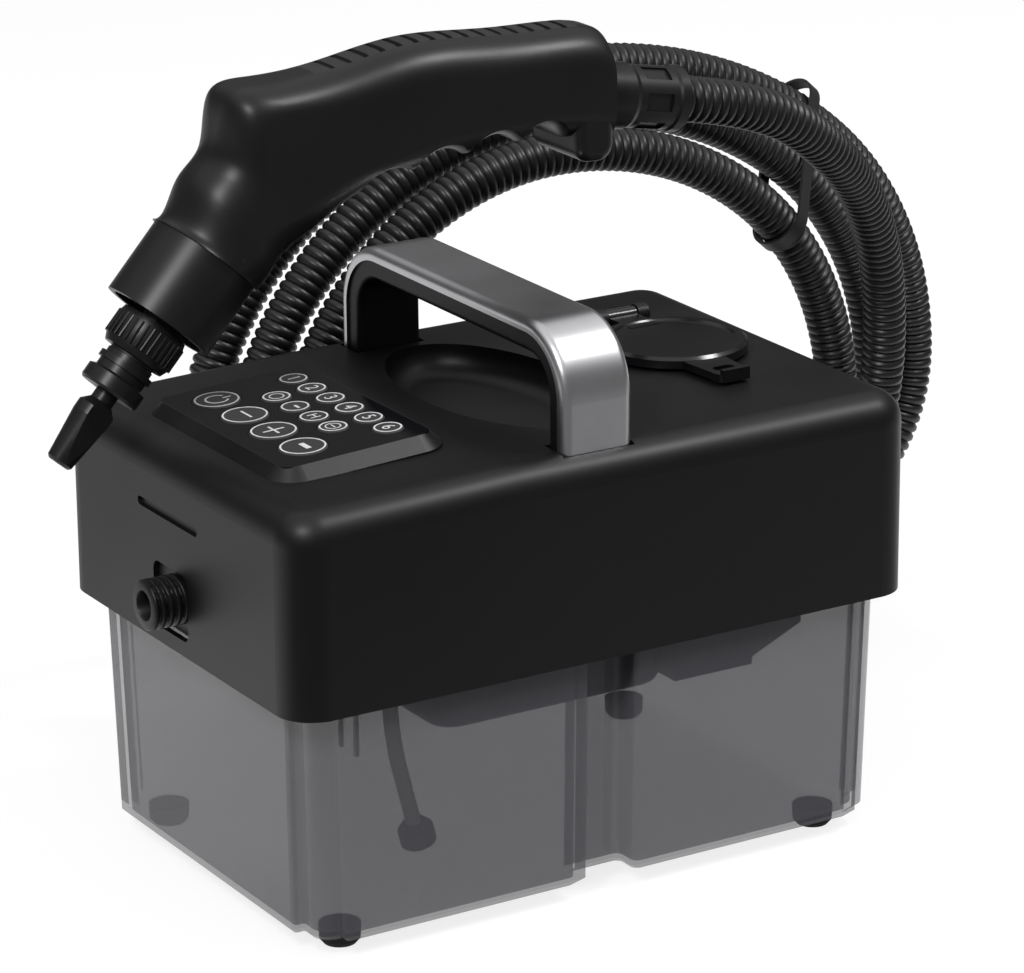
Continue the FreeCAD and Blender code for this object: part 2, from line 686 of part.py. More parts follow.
# Grip cross-sections from the barrel to the rear: top (x, z), bottom (x, z), half width, top and bottom corner radius
GRIP_MOUTH = [(BARREL_POINT.x + 30 * BARREL_DIR.x - side * BARREL_DIR.z,
               BARREL_POINT.z + 30 * BARREL_DIR.z + side * BARREL_DIR.x) for side in (23, -23)]
GRIP_SECTIONS = [(*GRIP_MOUTH, 23, 22.8, 22.8),
                 ((-118, 265.6), (-83.5, 235), 22.4, 21.8, 21.8), ((-108.6, 277.5), (-73.8, 243.6), 21, 19.5, 19),
                 ((-103, 291), (-64, 250.8), 20, 16.5, 14), ((-97.5, 303), (-55.5, 256.2), 19.4, 14, 12),
                 ((-85.5, 304.8), (-46, 260.6), 18.8, 14, 11), ((-68, 305.6), (-35, 263.4), 18.5, 14.5, 10),
                 ((-43, 309.6), (-22, 265.5), 18.5, 15, 10), ((-11, 312.5), (-3, 267.8), 18.5, 15.5, 10),
                 ((30, 310.3), (21, 269), 18.5, 15.5, 10), ((60, 304.8), (60, 266), 18.5, 15, 10)]
# Finger scallops under the grip: front ridge, deepest point and rear ridge of each, as (x, z)
SCALLOPS = [((-50, 259.5), (-39, 266), (-27, 265)), ((-25.5, 265.5), (-15, 271), (-4.5, 268.5)),
            ((-3, 267.5), (8, 273.5), (18, 271)), ((19.5, 268), (29.5, 274.5), (40, 268))]
SCALLOP_FLARE = 4.5
STRIP_NOTCHES = 15
STRIP_PITCH = 7.2


def gun_block(corners, y0, y1):
    """Solid with a side outline of (x, z, radius) corners, from y0 to y1."""
    return placed(prism(corners, 0, y1 - y0), V(0, y1, 0), Y * -1, X)


def section_half(side, high, low, half, r_top, r_bottom):
    """Corners and bends of one side of a grip section, from its top middle to its bottom middle."""
    k = math.sqrt(0.5)
    points = [V(0, 0, high)]
    for r, z, sign in ((r_top, high, 1), (r_bottom, low, -1)):
        flat, flank = V(0, side * (half - r), z), V(0, side * half, z - sign * r)
        bend = V(0, side * (half - r + r * k), z - sign * r * (1 - k))
        points += [flat, bend, flank] if sign > 0 else [flank, bend, flat]
    return points + [V(0, 0, low)]


def grip_section(sides, top, bottom, half, r_top, r_bottom):
    """Rounded cross-section of the grip on one or both sides of its middle plane."""
    up = V(top[0] - bottom[0], 0, top[1] - bottom[1])
    high = up.Length / 2
    edges = []
    for side in sides:
        a, b, c, d, e, f, g, h = section_half(side, high, -high, half, r_top, r_bottom)
        edges += [Part.LineSegment(a, b), Part.Arc(b, c, d), Part.LineSegment(d, e), Part.Arc(e, f, g),
                  Part.LineSegment(g, h)]
    if len(sides) == 1:
        edges.append(Part.LineSegment(V(0, 0, -high), V(0, 0, high)))
    wire = Part.Wire(Part.__sortEdges__([edge.toShape() for edge in edges]))
    middle = V((top[0] + bottom[0]) / 2, GUN_Y, (top[1] + bottom[1]) / 2)
    return Part.Wire(placed(wire, middle, up, Y.cross(up)).Edges)


def scallop(front, deepest, rear):
    """Finger-wide cutter across the grip that opens out towards both flanks."""
    circle = Part.Circle(V(front[0], 0, front[1]), V(deepest[0], 0, deepest[1]), V(rear[0], 0, rear[1]))
    r, wide = circle.Radius, circle.Radius + SCALLOP_FLARE
    half, straight = GUN_W / 2, 6.0
    bend = r + SCALLOP_FLARE * 0.22
    corner = (straight + half) / 2 + 1
    edges = [Part.LineSegment(V(0, 0, -half), V(wide, 0, -half)).toShape(),
             Part.Arc(V(wide, 0, -half), V(bend, 0, -corner), V(r, 0, -straight)).toShape(),
             Part.LineSegment(V(r, 0, -straight), V(r, 0, straight)).toShape(),
             Part.Arc(V(r, 0, straight), V(bend, 0, corner), V(wide, 0, half)).toShape(),
             Part.LineSegment(V(wide, 0, half), V(0, 0, half)).toShape(),
             Part.LineSegment(V(0, 0, half), V(0, 0, -half)).toShape()]
    spool = Part.Face(Part.Wire(edges)).revolve(V(0, 0, 0), Z, 360)
    return placed(spool, V(circle.Center.x, GUN_Y, circle.Center.z), Y)


def grip_form(*sides):
    """Grip lofted through its cross-sections, with a rounded heel and four finger scallops."""
    body = Part.makeLoft([grip_section(sides, *section) for section in GRIP_SECTIONS], True, False, False, 3)
    heel = gun_block(HEEL_SIDE, GUN_Y - 18, GUN_Y + 18)
    heel = rounded_edges(heel, HEEL_ROUND, lambda edge: edge.BoundBox.YLength < 0.01 and edge.BoundBox.ZMin < 270)
    if len(sides) == 1:
        heel = heel.common(box(-200, 200, GUN_Y + min(0, sides[0] * 40), GUN_Y + max(0, sides[0] * 40), 150, 400))
    body = fused(body, heel)
    for places in SCALLOPS:
        body = cut(body, scallop(*places))
    return body


HEEL_SIDE = [(42, 290, 0), (43.5, 258.5, 6), (60, 257.5, 7), (60, 290, 0)]
HEEL_ROUND = 4.0
GUN_INSIDE = [(-88, 297, 3), (54, 297, 3), (54, 279, 3), (18, 279, 3), (-36, 274, 3), (-60, 264, 3),
              (-84, 243, 2), (-97, 262, 2)]
GUN_SCREWS = [(-66, 290), (-8, 293.5), (44, 292.5)]
CONNECTOR_BASE = V(57.5, GUN_Y, 280.575)
CONNECTOR_LENGTH = 41.0
CONNECTOR_DIR = V(math.cos(math.radians(10)), 0, -math.sin(math.radians(10)))
GUN_HEAD_Y = 34.0
GUN_WALL = 3.5
TRIGGER_DIR = V(math.sin(math.radians(40)), 0, -math.cos(math.radians(40)))
TRIGGER_BASE = V(-71.5, GUN_Y, 243.5)


def gun_shells():
    """Two halves of the gun, on either side of its middle plane, with screw posts and cut-outs."""
    pipe_way = cylinder(PIPE_R + 2, barrel_at(25), BARREL_DIR, 40)
    sleeve_seat = cylinder(12, barrel_at(29), BARREL_DIR, 5)
    nut_way = fused(cylinder(7, CONNECTOR_BASE - CONNECTOR_DIR * 12, CONNECTOR_DIR, 14),
                    cylinder(13.2, CONNECTOR_BASE, CONNECTOR_DIR, 10))
    trigger_way = fused(cylinder(6.3, TRIGGER_BASE - TRIGGER_DIR * 9, TRIGGER_DIR, 30),
                        cylinder(8, TRIGGER_BASE - TRIGGER_DIR * 16, TRIGGER_DIR, 11))
    shells = []
    for side, post_y in ((-1, GUN_WALL), (1, GUN_Y)):
        shell = cut(grip_form(side), gun_block(GUN_INSIDE, 4, GUN_W - 4))
        shell = fused(shell, *[cylinder(4, V(x, post_y, z), Y, GUN_Y - GUN_WALL) for x, z in GUN_SCREWS])
        for x, z in GUN_SCREWS:
            shell = cut(shell, cylinder(1.5, V(x, 8, z), Y, 26), cylinder(3, V(x, GUN_HEAD_Y, z), Y, 7))
        shells.append(cut(shell, pipe_way, sleeve_seat, nut_way, trigger_way, grip_seat()))
    return shells


def gun_screws():
    return group([pan_screw(V(x, GUN_HEAD_Y, z), Y * -1, 18) for x, z in GUN_SCREWS])


def barrel_sleeve():
    """Heat guard round the steam pipe: a cup with a recessed front ring and a rear spigot."""
    profile = [(PIPE_R, 26), (22, 26), (22, 30), (12, 30), (12, 34), (PIPE_R, 34)]
    rear = turned(profile, BARREL_POINT, BARREL_DIR)
    wall = turned([(19, 0), (22, 0), (22, 26), (19, 26)], BARREL_POINT, BARREL_DIR)
    ring = turned([(8, 4), (19, 4), (19, 7), (8, 7)], BARREL_POINT, BARREL_DIR)
    return fused(rear, wall, ring)


def steam_pipe():
    """Pipe along the barrel with the bearing hub of the collar and the stop behind the nozzle."""
    profile = [(1.5, -22), (PIPE_R, -22), (PIPE_R, -17), (9, -17), (9, -1), (6, -1), (6, 4), (7.9, 4),
               (7.9, 7), (PIPE_R, 7), (PIPE_R, 60), (1.5, 60)]
    return turned(profile, BARREL_POINT, BARREL_DIR)


def nozzle_collar():
    """Turning collar in front of the sleeve, with eight grip flutes."""
    ring = turned([(9.05, -16), (12.5, -16), (14.2, -12), (14.6, -3), (13.5, -1.5), (9.05, -1.5)],
                  BARREL_POINT, BARREL_DIR)
    for i in range(16):
        angle = 2 * math.pi * i / 16
        side = Y.cross(BARREL_DIR)
        spot = side * (15.4 * math.cos(angle)) + Y * (15.4 * math.sin(angle))
        ring = cut(ring, cylinder(1.6, barrel_at(-13) + spot, BARREL_DIR, 9))
    return ring


def nozzle_tip():
    """Screwed nozzle: coupling nut, neck and a long tip with a fine orifice."""
    profile = [(1, -63.5), (4.2, -63.5), (5.2, -62.5), (7.4, -43), (7.4, -39), (4.5, -36), (4.5, -32),
               (11.3, -32), (12, -31), (12, -26), (9.8, -25), (9.8, -22), (11, -22), (11, -19.5),
               (9.5, -19.5), (9.5, -17.2), (PIPE_R, -17.2), (PIPE_R, -22), (1, -22)]
    body = turned(profile, BARREL_POINT, BARREL_DIR)
    flats = []
    for side in (-1, 1):
        flat = placed(Part.makeBox(20, 20, 30, V(-10, 5.4 if side > 0 else -25.4, 0)),
                      barrel_at(-66), BARREL_DIR, Y.cross(BARREL_DIR))
        flats.append(flat)
    return cut(body, *flats)


def trigger_button():
    """Round push button in the front underside, with a flange inside the shell and a stem."""
    profile = [(0, 1.2), (5.2, 1.2), (6, 0.2), (6, -5), (7.5, -5), (7.5, -7.5), (3, -7.5), (3, -12.5), (0, -12.5)]
    return turned(profile, TRIGGER_BASE, TRIGGER_DIR)


def grip_seat():
    """Long shallow seat in the top of the grip, 14 wide, that holds the anti-slip strip."""
    low = [(-64, 298.5), (50, 300.5)]
    points = [V(low[0][0], 0, low[0][1]), V(-4, 0, 306.3), V(low[1][0], 0, low[1][1])]
    arc = Part.Arc(*points).toShape()
    up = 20
    wire = Part.Wire([arc, Part.LineSegment(points[2], points[2] + Z * up).toShape(),
                      Part.LineSegment(points[2] + Z * up, points[0] + Z * up).toShape(),
                      Part.LineSegment(points[0] + Z * up, points[0]).toShape()])
    seat = Part.Face(wire).extrude(Y * 14)
    seat.translate(V(0, GUN_Y - 7, 0))
    return seat


def strip_top(x):
    """Height of the grip's crown over a place along it, from the tops of its cross-sections."""
    tops = [section[0] for section in GRIP_SECTIONS]
    for (x0, z0), (x1, z1) in zip(tops, tops[1:]):
        if x0 <= x <= x1:
            return z0 + (z1 - z0) * (x - x0) / (x1 - x0)
    return tops[-1][1]


def grip_strip():
    strip = grip_seat().common(grip_form(-1, 1))
    for i in range(STRIP_NOTCHES):
        x = -58 + STRIP_PITCH * i
        strip = cut(strip, box(x, x + 2.4, 0, GUN_W, strip_top(x + 1.2) - 1.2, 330))
    return strip


def micro_switch():
    """Switch behind the trigger, whose own spring returns the button, on two pegs of the shells."""
    block = placed(Part.makeBox(12, 6.5, 6, V(-6, -3.25, -21)), TRIGGER_BASE, TRIGGER_DIR, Y)
    peg = TRIGGER_BASE - TRIGGER_DIR * 18
    return fused(block, cylinder(1.5, V(peg.x, 4, peg.z), Y, GUN_W - 8))


def gun_tube():
    """Steam tube inside the grip, from the connector to the pipe of the barrel."""
    route = [barrel_at(60), barrel_at(78), V(-44, GUN_Y, 282), CONNECTOR_BASE - CONNECTOR_DIR * 40,
             CONNECTOR_BASE - CONNECTOR_DIR * 3]
    return tube("gun_tube", route, PIPE_R)


def hose_connector():
    """Swivel at the rear of the gun: nut, windowed body and the flange that holds the hose."""
    end = CONNECTOR_LENGTH
    profile = [(0, -3), (6.8, -3), (6.8, 0), (11, 0), (13, 2), (13, end - 25), (12.3, end - 23), (12.3, end - 5),
               (13, end - 4), (13, end), (0, end)]
    body = turned(profile, CONNECTOR_BASE, CONNECTOR_DIR)
    for i in range(6):
        angle = math.radians(60 * i)
        up = Y.cross(CONNECTOR_DIR)
        out = Y * math.cos(angle) + up * math.sin(angle)
        window = placed(Part.makeBox(12, 7, 4, V(-6, -3.5, 11)), CONNECTOR_BASE + CONNECTOR_DIR * (CONNECTOR_LENGTH - 14),
                        out, CONNECTOR_DIR)
        body = cut(body, window)
    return body


def biarc(p0, t0, p1, t1):
    """Two tangent arcs from p0 heading t0 to p1 heading t1."""
    chord = p1 - p0
    both = t0 + t1
    spread = 2 * (1 - t0.dot(t1))
    reach = (-chord.dot(both) + math.sqrt(chord.dot(both) ** 2 + spread * chord.dot(chord))) / spread
    joint = (p0 + p1 + (t0 - t1) * reach) * 0.5
    return [heading_arc(p0, t0, joint), heading_arc(p1, t1 * -1, joint)]


def heading_arc(start, heading, end):
    chord = end - start
    angle = heading.getAngle(chord)
    out = heading - chord * (heading.dot(chord) / chord.dot(chord))
    out.normalize()
    bulge = (start + end) * 0.5 + out * (chord.Length / 2 * math.tan(angle / 2))
    return Part.Arc(start, bulge, end).toShape()


def loop_stations():
    """Places and headings of the hose at the bottom, right, top and left of each loop."""
    stations = []
    for quarter in range(4 * LOOPS + 1):
        u = quarter / 4 - 0.25
        half = LOOP_HALF_WIDTH - LOOP_SHRINK * u
        centre = LOOP_CENTRE_X + LOOP_DRIFT_X * u
        y = LOOP_Y + LOOP_STEP_Y * u
        top = LOOP_TOP_Z - LOOP_TOP_DROP * u
        place, heading = [(V(centre, y, LOOP_FLOOR_Z), X), (V(centre + half, y, LOOP_SIDE_Z), Z),
                          (V(centre, y, top), X * -1), (V(centre - half, y, LOOP_SIDE_Z), Z * -1)][quarter % 4]
        stations.append((place, heading))
    return stations


def hose_coil():
    """Three upright loops of hose as one unbroken tube, with a straight run at each end."""
    stations = loop_stations()
    first, last = stations[0][0], stations[-1][0]
    straight = X * (2 * HOSE_R)
    edges = [Part.LineSegment(first - straight, first).toShape()]
    for (p0, t0), (p1, t1) in zip(stations, stations[1:]):
        for arc in biarc(p0, t0, p1, t1):
            edges.append(arc)
    edges.append(Part.LineSegment(last, last + straight).toShape())
    path = Part.Wire(Part.__sortEdges__(edges))
    ring = Part.Wire(Part.makeCircle(HOSE_R, first - straight, X))
    solid = path.makePipeShell([ring], True, False)
    radii = sorted(round(edge.Curve.Radius) for edge in edges if hasattr(edge.Curve, "Radius"))
    print("hose_coil length", round(path.Length), "smallest radii", radii[:4], "least gap",
          round(least_gap(path, HOSE_R), 2), "volume ratio",
          round(solid.Volume / (math.pi * HOSE_R ** 2 * path.Length), 4))
    return solid


def least_gap(path, r):
    """Smallest gap of a tube to its own next turn, measured between points along its path."""
    step = 4.0
    points = path.discretize(Distance=step)
    skip = int(200 / step)
    nearest = min((points[i] - points[j]).Length
                  for i in range(0, len(points)) for j in range(i + skip, len(points)))
    return nearest - 2 * r


COIL_END = loop_stations()[-1][0] + X * (2 * HOSE_R)
COIL_START = loop_stations()[0][0] - X * (2 * HOSE_R)
CONNECTOR_END = CONNECTOR_BASE + CONNECTOR_DIR * CONNECTOR_LENGTH
LEAD = [COIL_END, V(165, COIL_END.y, LOOP_FLOOR_Z), V(212, 100, 25), V(244, 97, 64), V(255, 94, 114),
        V(247, 84, 164), V(221, 62, 206), V(184, 36, 238), CONNECTOR_END + CONNECTOR_DIR * 42, CONNECTOR_END]
TAIL = [V(OUTLET_X, 100, 125), V(OUTLET_X, 145, 125), V(-68, 185, 105), V(-47, 211, 74), V(-16, 217, 41),
        V(19, 202, 17), V(54, 174, 9.5), V(84, COIL_START.y, LOOP_FLOOR_Z), COIL_START]


def hose_tie():
    """Strap that holds the three loops together at their upper right."""
    stations = loop_stations()
    joints = []
    for quarter in (1, 5, 9):
        (p0, t0), (p1, t1) = stations[quarter], stations[quarter + 1]
        first = biarc(p0, t0, p1, t1)[0]
        joints.append(first.valueAt(first.LastParameter))
        heading = first.tangentAt(first.LastParameter)
    row = joints[2] - joints[0]
    row = row - heading * row.dot(heading)
    long, wide = row.Length, 2 * (HOSE_R + 1.8)
    row.normalize()
    middle = (joints[0] + joints[2]) * 0.5
    loop = prism(rounded(0, 0, long + wide + 2.4, wide + 2.4, wide / 2 + 1), -3, 3)
    loop = loop.cut(prism(rounded(0, 0, long + wide, wide, wide / 2 - 0.1), -4, 4))
    return placed(loop, middle, heading, row)


def ribbed_hose(points, ribs):
    """Corrugated hose: a ruled loft through four circles for each rib, with its bore."""
    edges, radii = tangent_route(points)
    path = Part.Wire(edges)
    length = path.Length
    plain = 2 * HOSE_R
    pitch = (length - 2 * plain) / ribs
    stations = [(0, HOSE_R)]
    for i in range(ribs):
        start = plain + i * pitch
        stations += [(start, HOSE_R), (start + 0.15 * pitch, HOSE_R - RIB_DEPTH),
                     (start + 0.5 * pitch, HOSE_R - RIB_DEPTH), (start + 0.65 * pitch, HOSE_R)]
    stations += [(length - plain, HOSE_R), (length, HOSE_R)]
    outer = Part.makeLoft([hose_ring(edges, s, r) for s, r in stations], True, True)
    inner = Part.Wire(path.Edges).makePipeShell([hose_ring(edges, 0, HOSE_BORE_R)], True, False)
    hose = outer.cut(inner)
    print("hose_lead radii", radii, "length", round(length, 1), "ribs", ribs)
    return hose


def hose_ring(edges, distance, r):
    """Circle across the route at a distance from its start, with a steady X axis."""
    for edge in edges:
        if distance <= edge.Length + 1e-6:
            break
        distance -= edge.Length
    at = edge.getParameterByLength(min(max(distance, 0), edge.Length))
    place = edge.valueAt(at)
    heading = edge.tangentAt(at)
    side = Y - heading * Y.dot(heading)
    side.normalize()
    return Part.Wire(placed(Part.makeCircle(r), place, heading, side).Edges)


def build():
    nodes = {
        "upper_housing": upper_housing(),
        "base_tray": base_tray(),
        "tank_seal": tank_seal(),
        "water_tank": water_tank(),
        "tank_feet": tank_feet(),
        "handle_core": handle_core(),
        "handle_band": handle_band(),
        "handle_screws": handle_screws(),
        "housing_screws": housing_screws(),
        "keypad_fascia": keypad_fascia(),
        "keypad_board": keypad_board(),
        "filler_cover": filler_cover(),
        "cover_seal": cover_seal(),
        "cover_hinge_pin": cover_hinge_pin(),
        "filler_neck": filler_neck(),
        "threaded_spigot": threaded_spigot(),
        "boiler": boiler(),
        "heating_element": heating_element(),
        "thermostat": thermostat(),
        "relief_valve": relief_valve(),
        "pump": pump(),
        "pump_mounts": pump_mounts(),
        "pump_tubes": pump_tubes(),
        "steam_tube": steam_tube(),
        "pickup_tube": pickup_tube(),
        "inlet_filter": inlet_filter(),
        "level_probes": level_probes(),
        "control_board": control_board(),
        "cord_gland": gland(MAINS_X, 3.5),
        "hose_outlet_gland": gland(OUTLET_X, 4),
    }
    for name, x, y, r in keys():
        nodes[name] = key_cap(x, y, r)
    left, right = gun_shells()
    nodes["gun_shell_left"] = left
    nodes["gun_shell_right"] = right
    nodes["grip_strip"] = grip_strip()
    nodes["gun_screws"] = gun_screws()
    nodes["barrel_sleeve"] = barrel_sleeve()
    nodes["steam_pipe"] = steam_pipe()
    nodes["nozzle_collar"] = nozzle_collar()
    nodes["nozzle_tip"] = nozzle_tip()
    nodes["trigger_button"] = trigger_button()
    nodes["gun_tube"] = gun_tube()
    nodes["micro_switch"] = micro_switch()
    nodes["hose_connector"] = hose_connector()
    nodes["hose_coil"] = hose_coil()
    nodes["hose_lead"] = ribbed_hose(LEAD, LEAD_RIBS)
    nodes["hose_tie"] = hose_tie()
    nodes["hose_tail"] = tube("hose_tail", TAIL, HOSE_R)
    return nodes


if __name__ == "__main__":
    os.makedirs("parts", exist_ok=True)
    for node, shape in build().items():
        shape.exportStep("parts/" + node + ".step")
        print(node, len(shape.Solids), round(shape.Volume, 1), shape.isValid())
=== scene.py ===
import math

import bmesh
import bpy
from bpy.props import FloatProperty, FloatVectorProperty, IntProperty, PointerProperty
from bpy.types import Operator, Panel, PropertyGroup
from mathutils import Matrix, Vector


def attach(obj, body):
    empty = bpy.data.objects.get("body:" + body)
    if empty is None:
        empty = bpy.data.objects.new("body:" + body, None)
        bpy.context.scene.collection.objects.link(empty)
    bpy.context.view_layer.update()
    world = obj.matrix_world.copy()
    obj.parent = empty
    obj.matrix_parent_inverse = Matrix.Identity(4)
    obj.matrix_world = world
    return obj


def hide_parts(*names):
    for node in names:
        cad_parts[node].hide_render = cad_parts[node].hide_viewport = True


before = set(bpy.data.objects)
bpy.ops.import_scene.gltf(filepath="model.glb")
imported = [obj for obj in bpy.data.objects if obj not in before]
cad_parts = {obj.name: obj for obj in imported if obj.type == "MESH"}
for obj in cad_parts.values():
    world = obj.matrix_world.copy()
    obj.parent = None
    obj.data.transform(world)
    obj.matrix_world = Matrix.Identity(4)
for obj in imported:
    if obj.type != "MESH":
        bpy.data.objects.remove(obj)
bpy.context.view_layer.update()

bl_info = {
    "name": "Steam cleaner parts",
    "version": (1, 0, 0),
    "blender": (4, 5, 0),
    "location": "View3D > Sidebar > Steam cleaner",
    "description": "Dresses a bench steam cleaner: its hose, keypad marks, thread, knurl and finishes",
    "category": "Mesh",
}

# Places on the object in millimetres, and the camera's


def tilted(degrees):
    """Direction in the gun's plane, above the level."""
    return Vector((math.cos(math.radians(degrees)), 0, math.sin(math.radians(degrees))))


MM = 0.001
SPIGOT_BASE = Vector((-147.0, 2.0, 118.0))
PANEL = Vector((-83.5, 0.0, 181.43))
PANEL_SLOPE = 0.055
KEY_TOP = 0.5
BARREL = Vector((-128.4, 20.0, 219.7))
BARREL_AXIS = tilted(48)
CONNECTOR = Vector((57.5, 20.0, 280.575))
CONNECTOR_AXIS = tilted(-10)
CONNECTOR_LENGTH = 41
HOSE_END = CONNECTOR + CONNECTOR_AXIS * CONNECTOR_LENGTH
CAMERA_PLACE = Vector((-866.8, -1442.3, 704.72))
CAMERA_YAW, CAMERA_PITCH, CAMERA_ROLL = 31.328, 18.608, -0.421
CAMERA_FOCUS, CAMERA_WIDTH, SENSOR_WIDTH = 4641.7, 1024, 36

# Sizes and colours that a user would change


class HoseSizes(PropertyGroup):
    diameter: FloatProperty(name="Diameter", description="Outside diameter over the ribs", default=0.0185,
                            subtype="DISTANCE", unit="LENGTH")
    pitch: FloatProperty(name="Rib pitch", description="From one rib to the next", default=0.0041,
                         subtype="DISTANCE", unit="LENGTH")
    depth: FloatProperty(name="Rib depth", description="From the crest of a rib to its valley",
                         default=0.0014, subtype="DISTANCE", unit="LENGTH")
    sides: IntProperty(name="Sides", description="Faces round the hose", default=20, min=8, max=32)
    colour: FloatVectorProperty(name="Colour", description="Colour of the hose", subtype="COLOR",
                                default=(0.006, 0.006, 0.007))


class CaseSizes(PropertyGroup):
    colour: FloatVectorProperty(name="Colour", description="Moulded plastic of the head", subtype="COLOR",
                                default=(0.0045, 0.0045, 0.0055))
    gun_colour: FloatVectorProperty(name="Gun colour", description="Moulded plastic of the steam gun",
                                    subtype="COLOR", default=(0.008, 0.008, 0.009))
    roughness: FloatProperty(name="Roughness", description="Roughness of the moulded plastic", default=0.42,
                             min=0, max=1, subtype="FACTOR")
    smoke: FloatVectorProperty(name="Smoke tint", description="Tint of the clear tank", subtype="COLOR",
                               default=(0.05, 0.05, 0.055))
    silver: FloatVectorProperty(name="Silver", description="Satin band of the handle", subtype="COLOR",
                                default=(0.60, 0.60, 0.62))


class KeypadSizes(PropertyGroup):
    mark_colour: FloatVectorProperty(name="Mark colour", description="Printed rings and signs",
                                     subtype="COLOR", default=(0.72, 0.72, 0.74))
    ring_width: FloatProperty(name="Ring width", description="Width of a key's ring", default=0.0007,
                              subtype="DISTANCE", unit="LENGTH")
    ink: FloatProperty(name="Ink height", description="How far a printed mark stands up", default=0.00005,
                       subtype="DISTANCE", unit="LENGTH")


class OutletSizes(PropertyGroup):
    pitch: FloatProperty(name="Thread pitch", description="Pitch of the outlet's coarse thread",
                         default=0.0032, subtype="DISTANCE", unit="LENGTH")
    depth: FloatProperty(name="Thread depth", description="From crest to root", default=0.0013,
                         subtype="DISTANCE", unit="LENGTH")


class GunSizes(PropertyGroup):
    ridges: IntProperty(name="Collar ridges", description="Grip ridges round the collar", default=34,
                        min=8, max=60)
    ridge: FloatProperty(name="Ridge width", description="Width of one ridge", default=0.0016,
                         subtype="DISTANCE", unit="LENGTH")


class StageSizes(PropertyGroup):
    floor_white: FloatProperty(name="Floor light", description="Plain light that the pale floor gives",
                               default=0.80, min=0, max=1)
    world_light: FloatProperty(name="World light", description="Strength of the even light from all round",
                               default=0.40, min=0, max=2)
    dark_side: FloatProperty(name="Camera side", description="Brightness of the camera's side in reflections",
                             default=0.16, min=0, max=1)
    floor_shine: FloatProperty(name="Floor shine", description="Brightness of the pale floor in reflections",
                               default=0.85, min=0, max=1)
    far_side: FloatProperty(name="Far side", description="Brightness of the backdrop in reflections",
                            default=0.12, min=0, max=1)
    overhead: FloatProperty(name="Overhead", description="Brightness of the space above in reflections",
                            default=0.9, min=0, max=1)
    lamp: FloatProperty(name="Lamp power", description="Power of the soft lamp above", default=16,
                        unit="POWER")


# Materials


def principled(name, **values):
    material = bpy.data.materials.new(name)
    material.use_nodes = True
    shader = material.node_tree.nodes["Principled BSDF"]
    for socket, value in values.items():
        shader.inputs[socket.replace("_", " ")].default_value = value
    return material, shader


def rgba(colour):
    return (colour[0], colour[1], colour[2], 1.0)


def group_tree(name, inputs, outputs):
    tree = bpy.data.node_groups.new(name, "ShaderNodeTree")
    for label, kind, value in inputs:
        socket = tree.interface.new_socket(label, in_out="INPUT", socket_type=kind)
        if value is not None:
            socket.default_value = value
    for label, kind in outputs:
        tree.interface.new_socket(label, in_out="OUTPUT", socket_type=kind)
    return tree, tree.nodes.new("NodeGroupInput"), tree.nodes.new("NodeGroupOutput")


def math_node(tree, operation, a, b=None, clamp=False):
    node = tree.nodes.new("ShaderNodeMath")
    node.operation = operation
    node.use_clamp = clamp
    for i, value in enumerate((a, b)):
        if value is None:
            continue
        if isinstance(value, (int, float)):
            node.inputs[i].default_value = value
        else:
            tree.links.new(value, node.inputs[i])
    return node.outputs[0]


def moulded_group():
    """Grain, uneven gloss and a faint change of shade over a moulded surface."""
    tree, given, made = group_tree(
        "moulded_grain",
        [("Vector", "NodeSocketVector", None), ("Colour", "NodeSocketColor", (0.5, 0.5, 0.5, 1)),
         ("Roughness", "NodeSocketFloat", 0.4), ("Spread", "NodeSocketFloat", 0.05),
         ("Grain Scale", "NodeSocketFloat", 900.0), ("Patch Scale", "NodeSocketFloat", 14.0)],
        [("Colour", "NodeSocketColor"), ("Roughness", "NodeSocketFloat"), ("Height", "NodeSocketFloat")])
    link = tree.links.new
    grain = tree.nodes.new("ShaderNodeTexNoise")
    grain.inputs["Detail"].default_value = 2
    patch = tree.nodes.new("ShaderNodeTexNoise")
    patch.inputs["Detail"].default_value = 4
    for noise, scale in ((grain, "Grain Scale"), (patch, "Patch Scale")):
        link(given.outputs["Vector"], noise.inputs["Vector"])
        link(given.outputs[scale], noise.inputs["Scale"])
    swing = math_node(tree, "SUBTRACT", patch.outputs["Fac"], 0.5)
    uneven = math_node(tree, "MULTIPLY", swing, given.outputs["Spread"])
    wide = math_node(tree, "MULTIPLY", uneven, 4.0)
    link(math_node(tree, "ADD", given.outputs["Roughness"], wide, clamp=True), made.inputs["Roughness"])
    shade = math_node(tree, "ADD", math_node(tree, "MULTIPLY", swing, 0.5), 1.0)
    tint = tree.nodes.new("ShaderNodeVectorMath")
    tint.operation = "SCALE"
    link(given.outputs["Colour"], tint.inputs[0])
    link(shade, tint.inputs["Scale"])
    link(tint.outputs["Vector"], made.inputs["Colour"])
    link(grain.outputs["Fac"], made.inputs["Height"])
    return tree


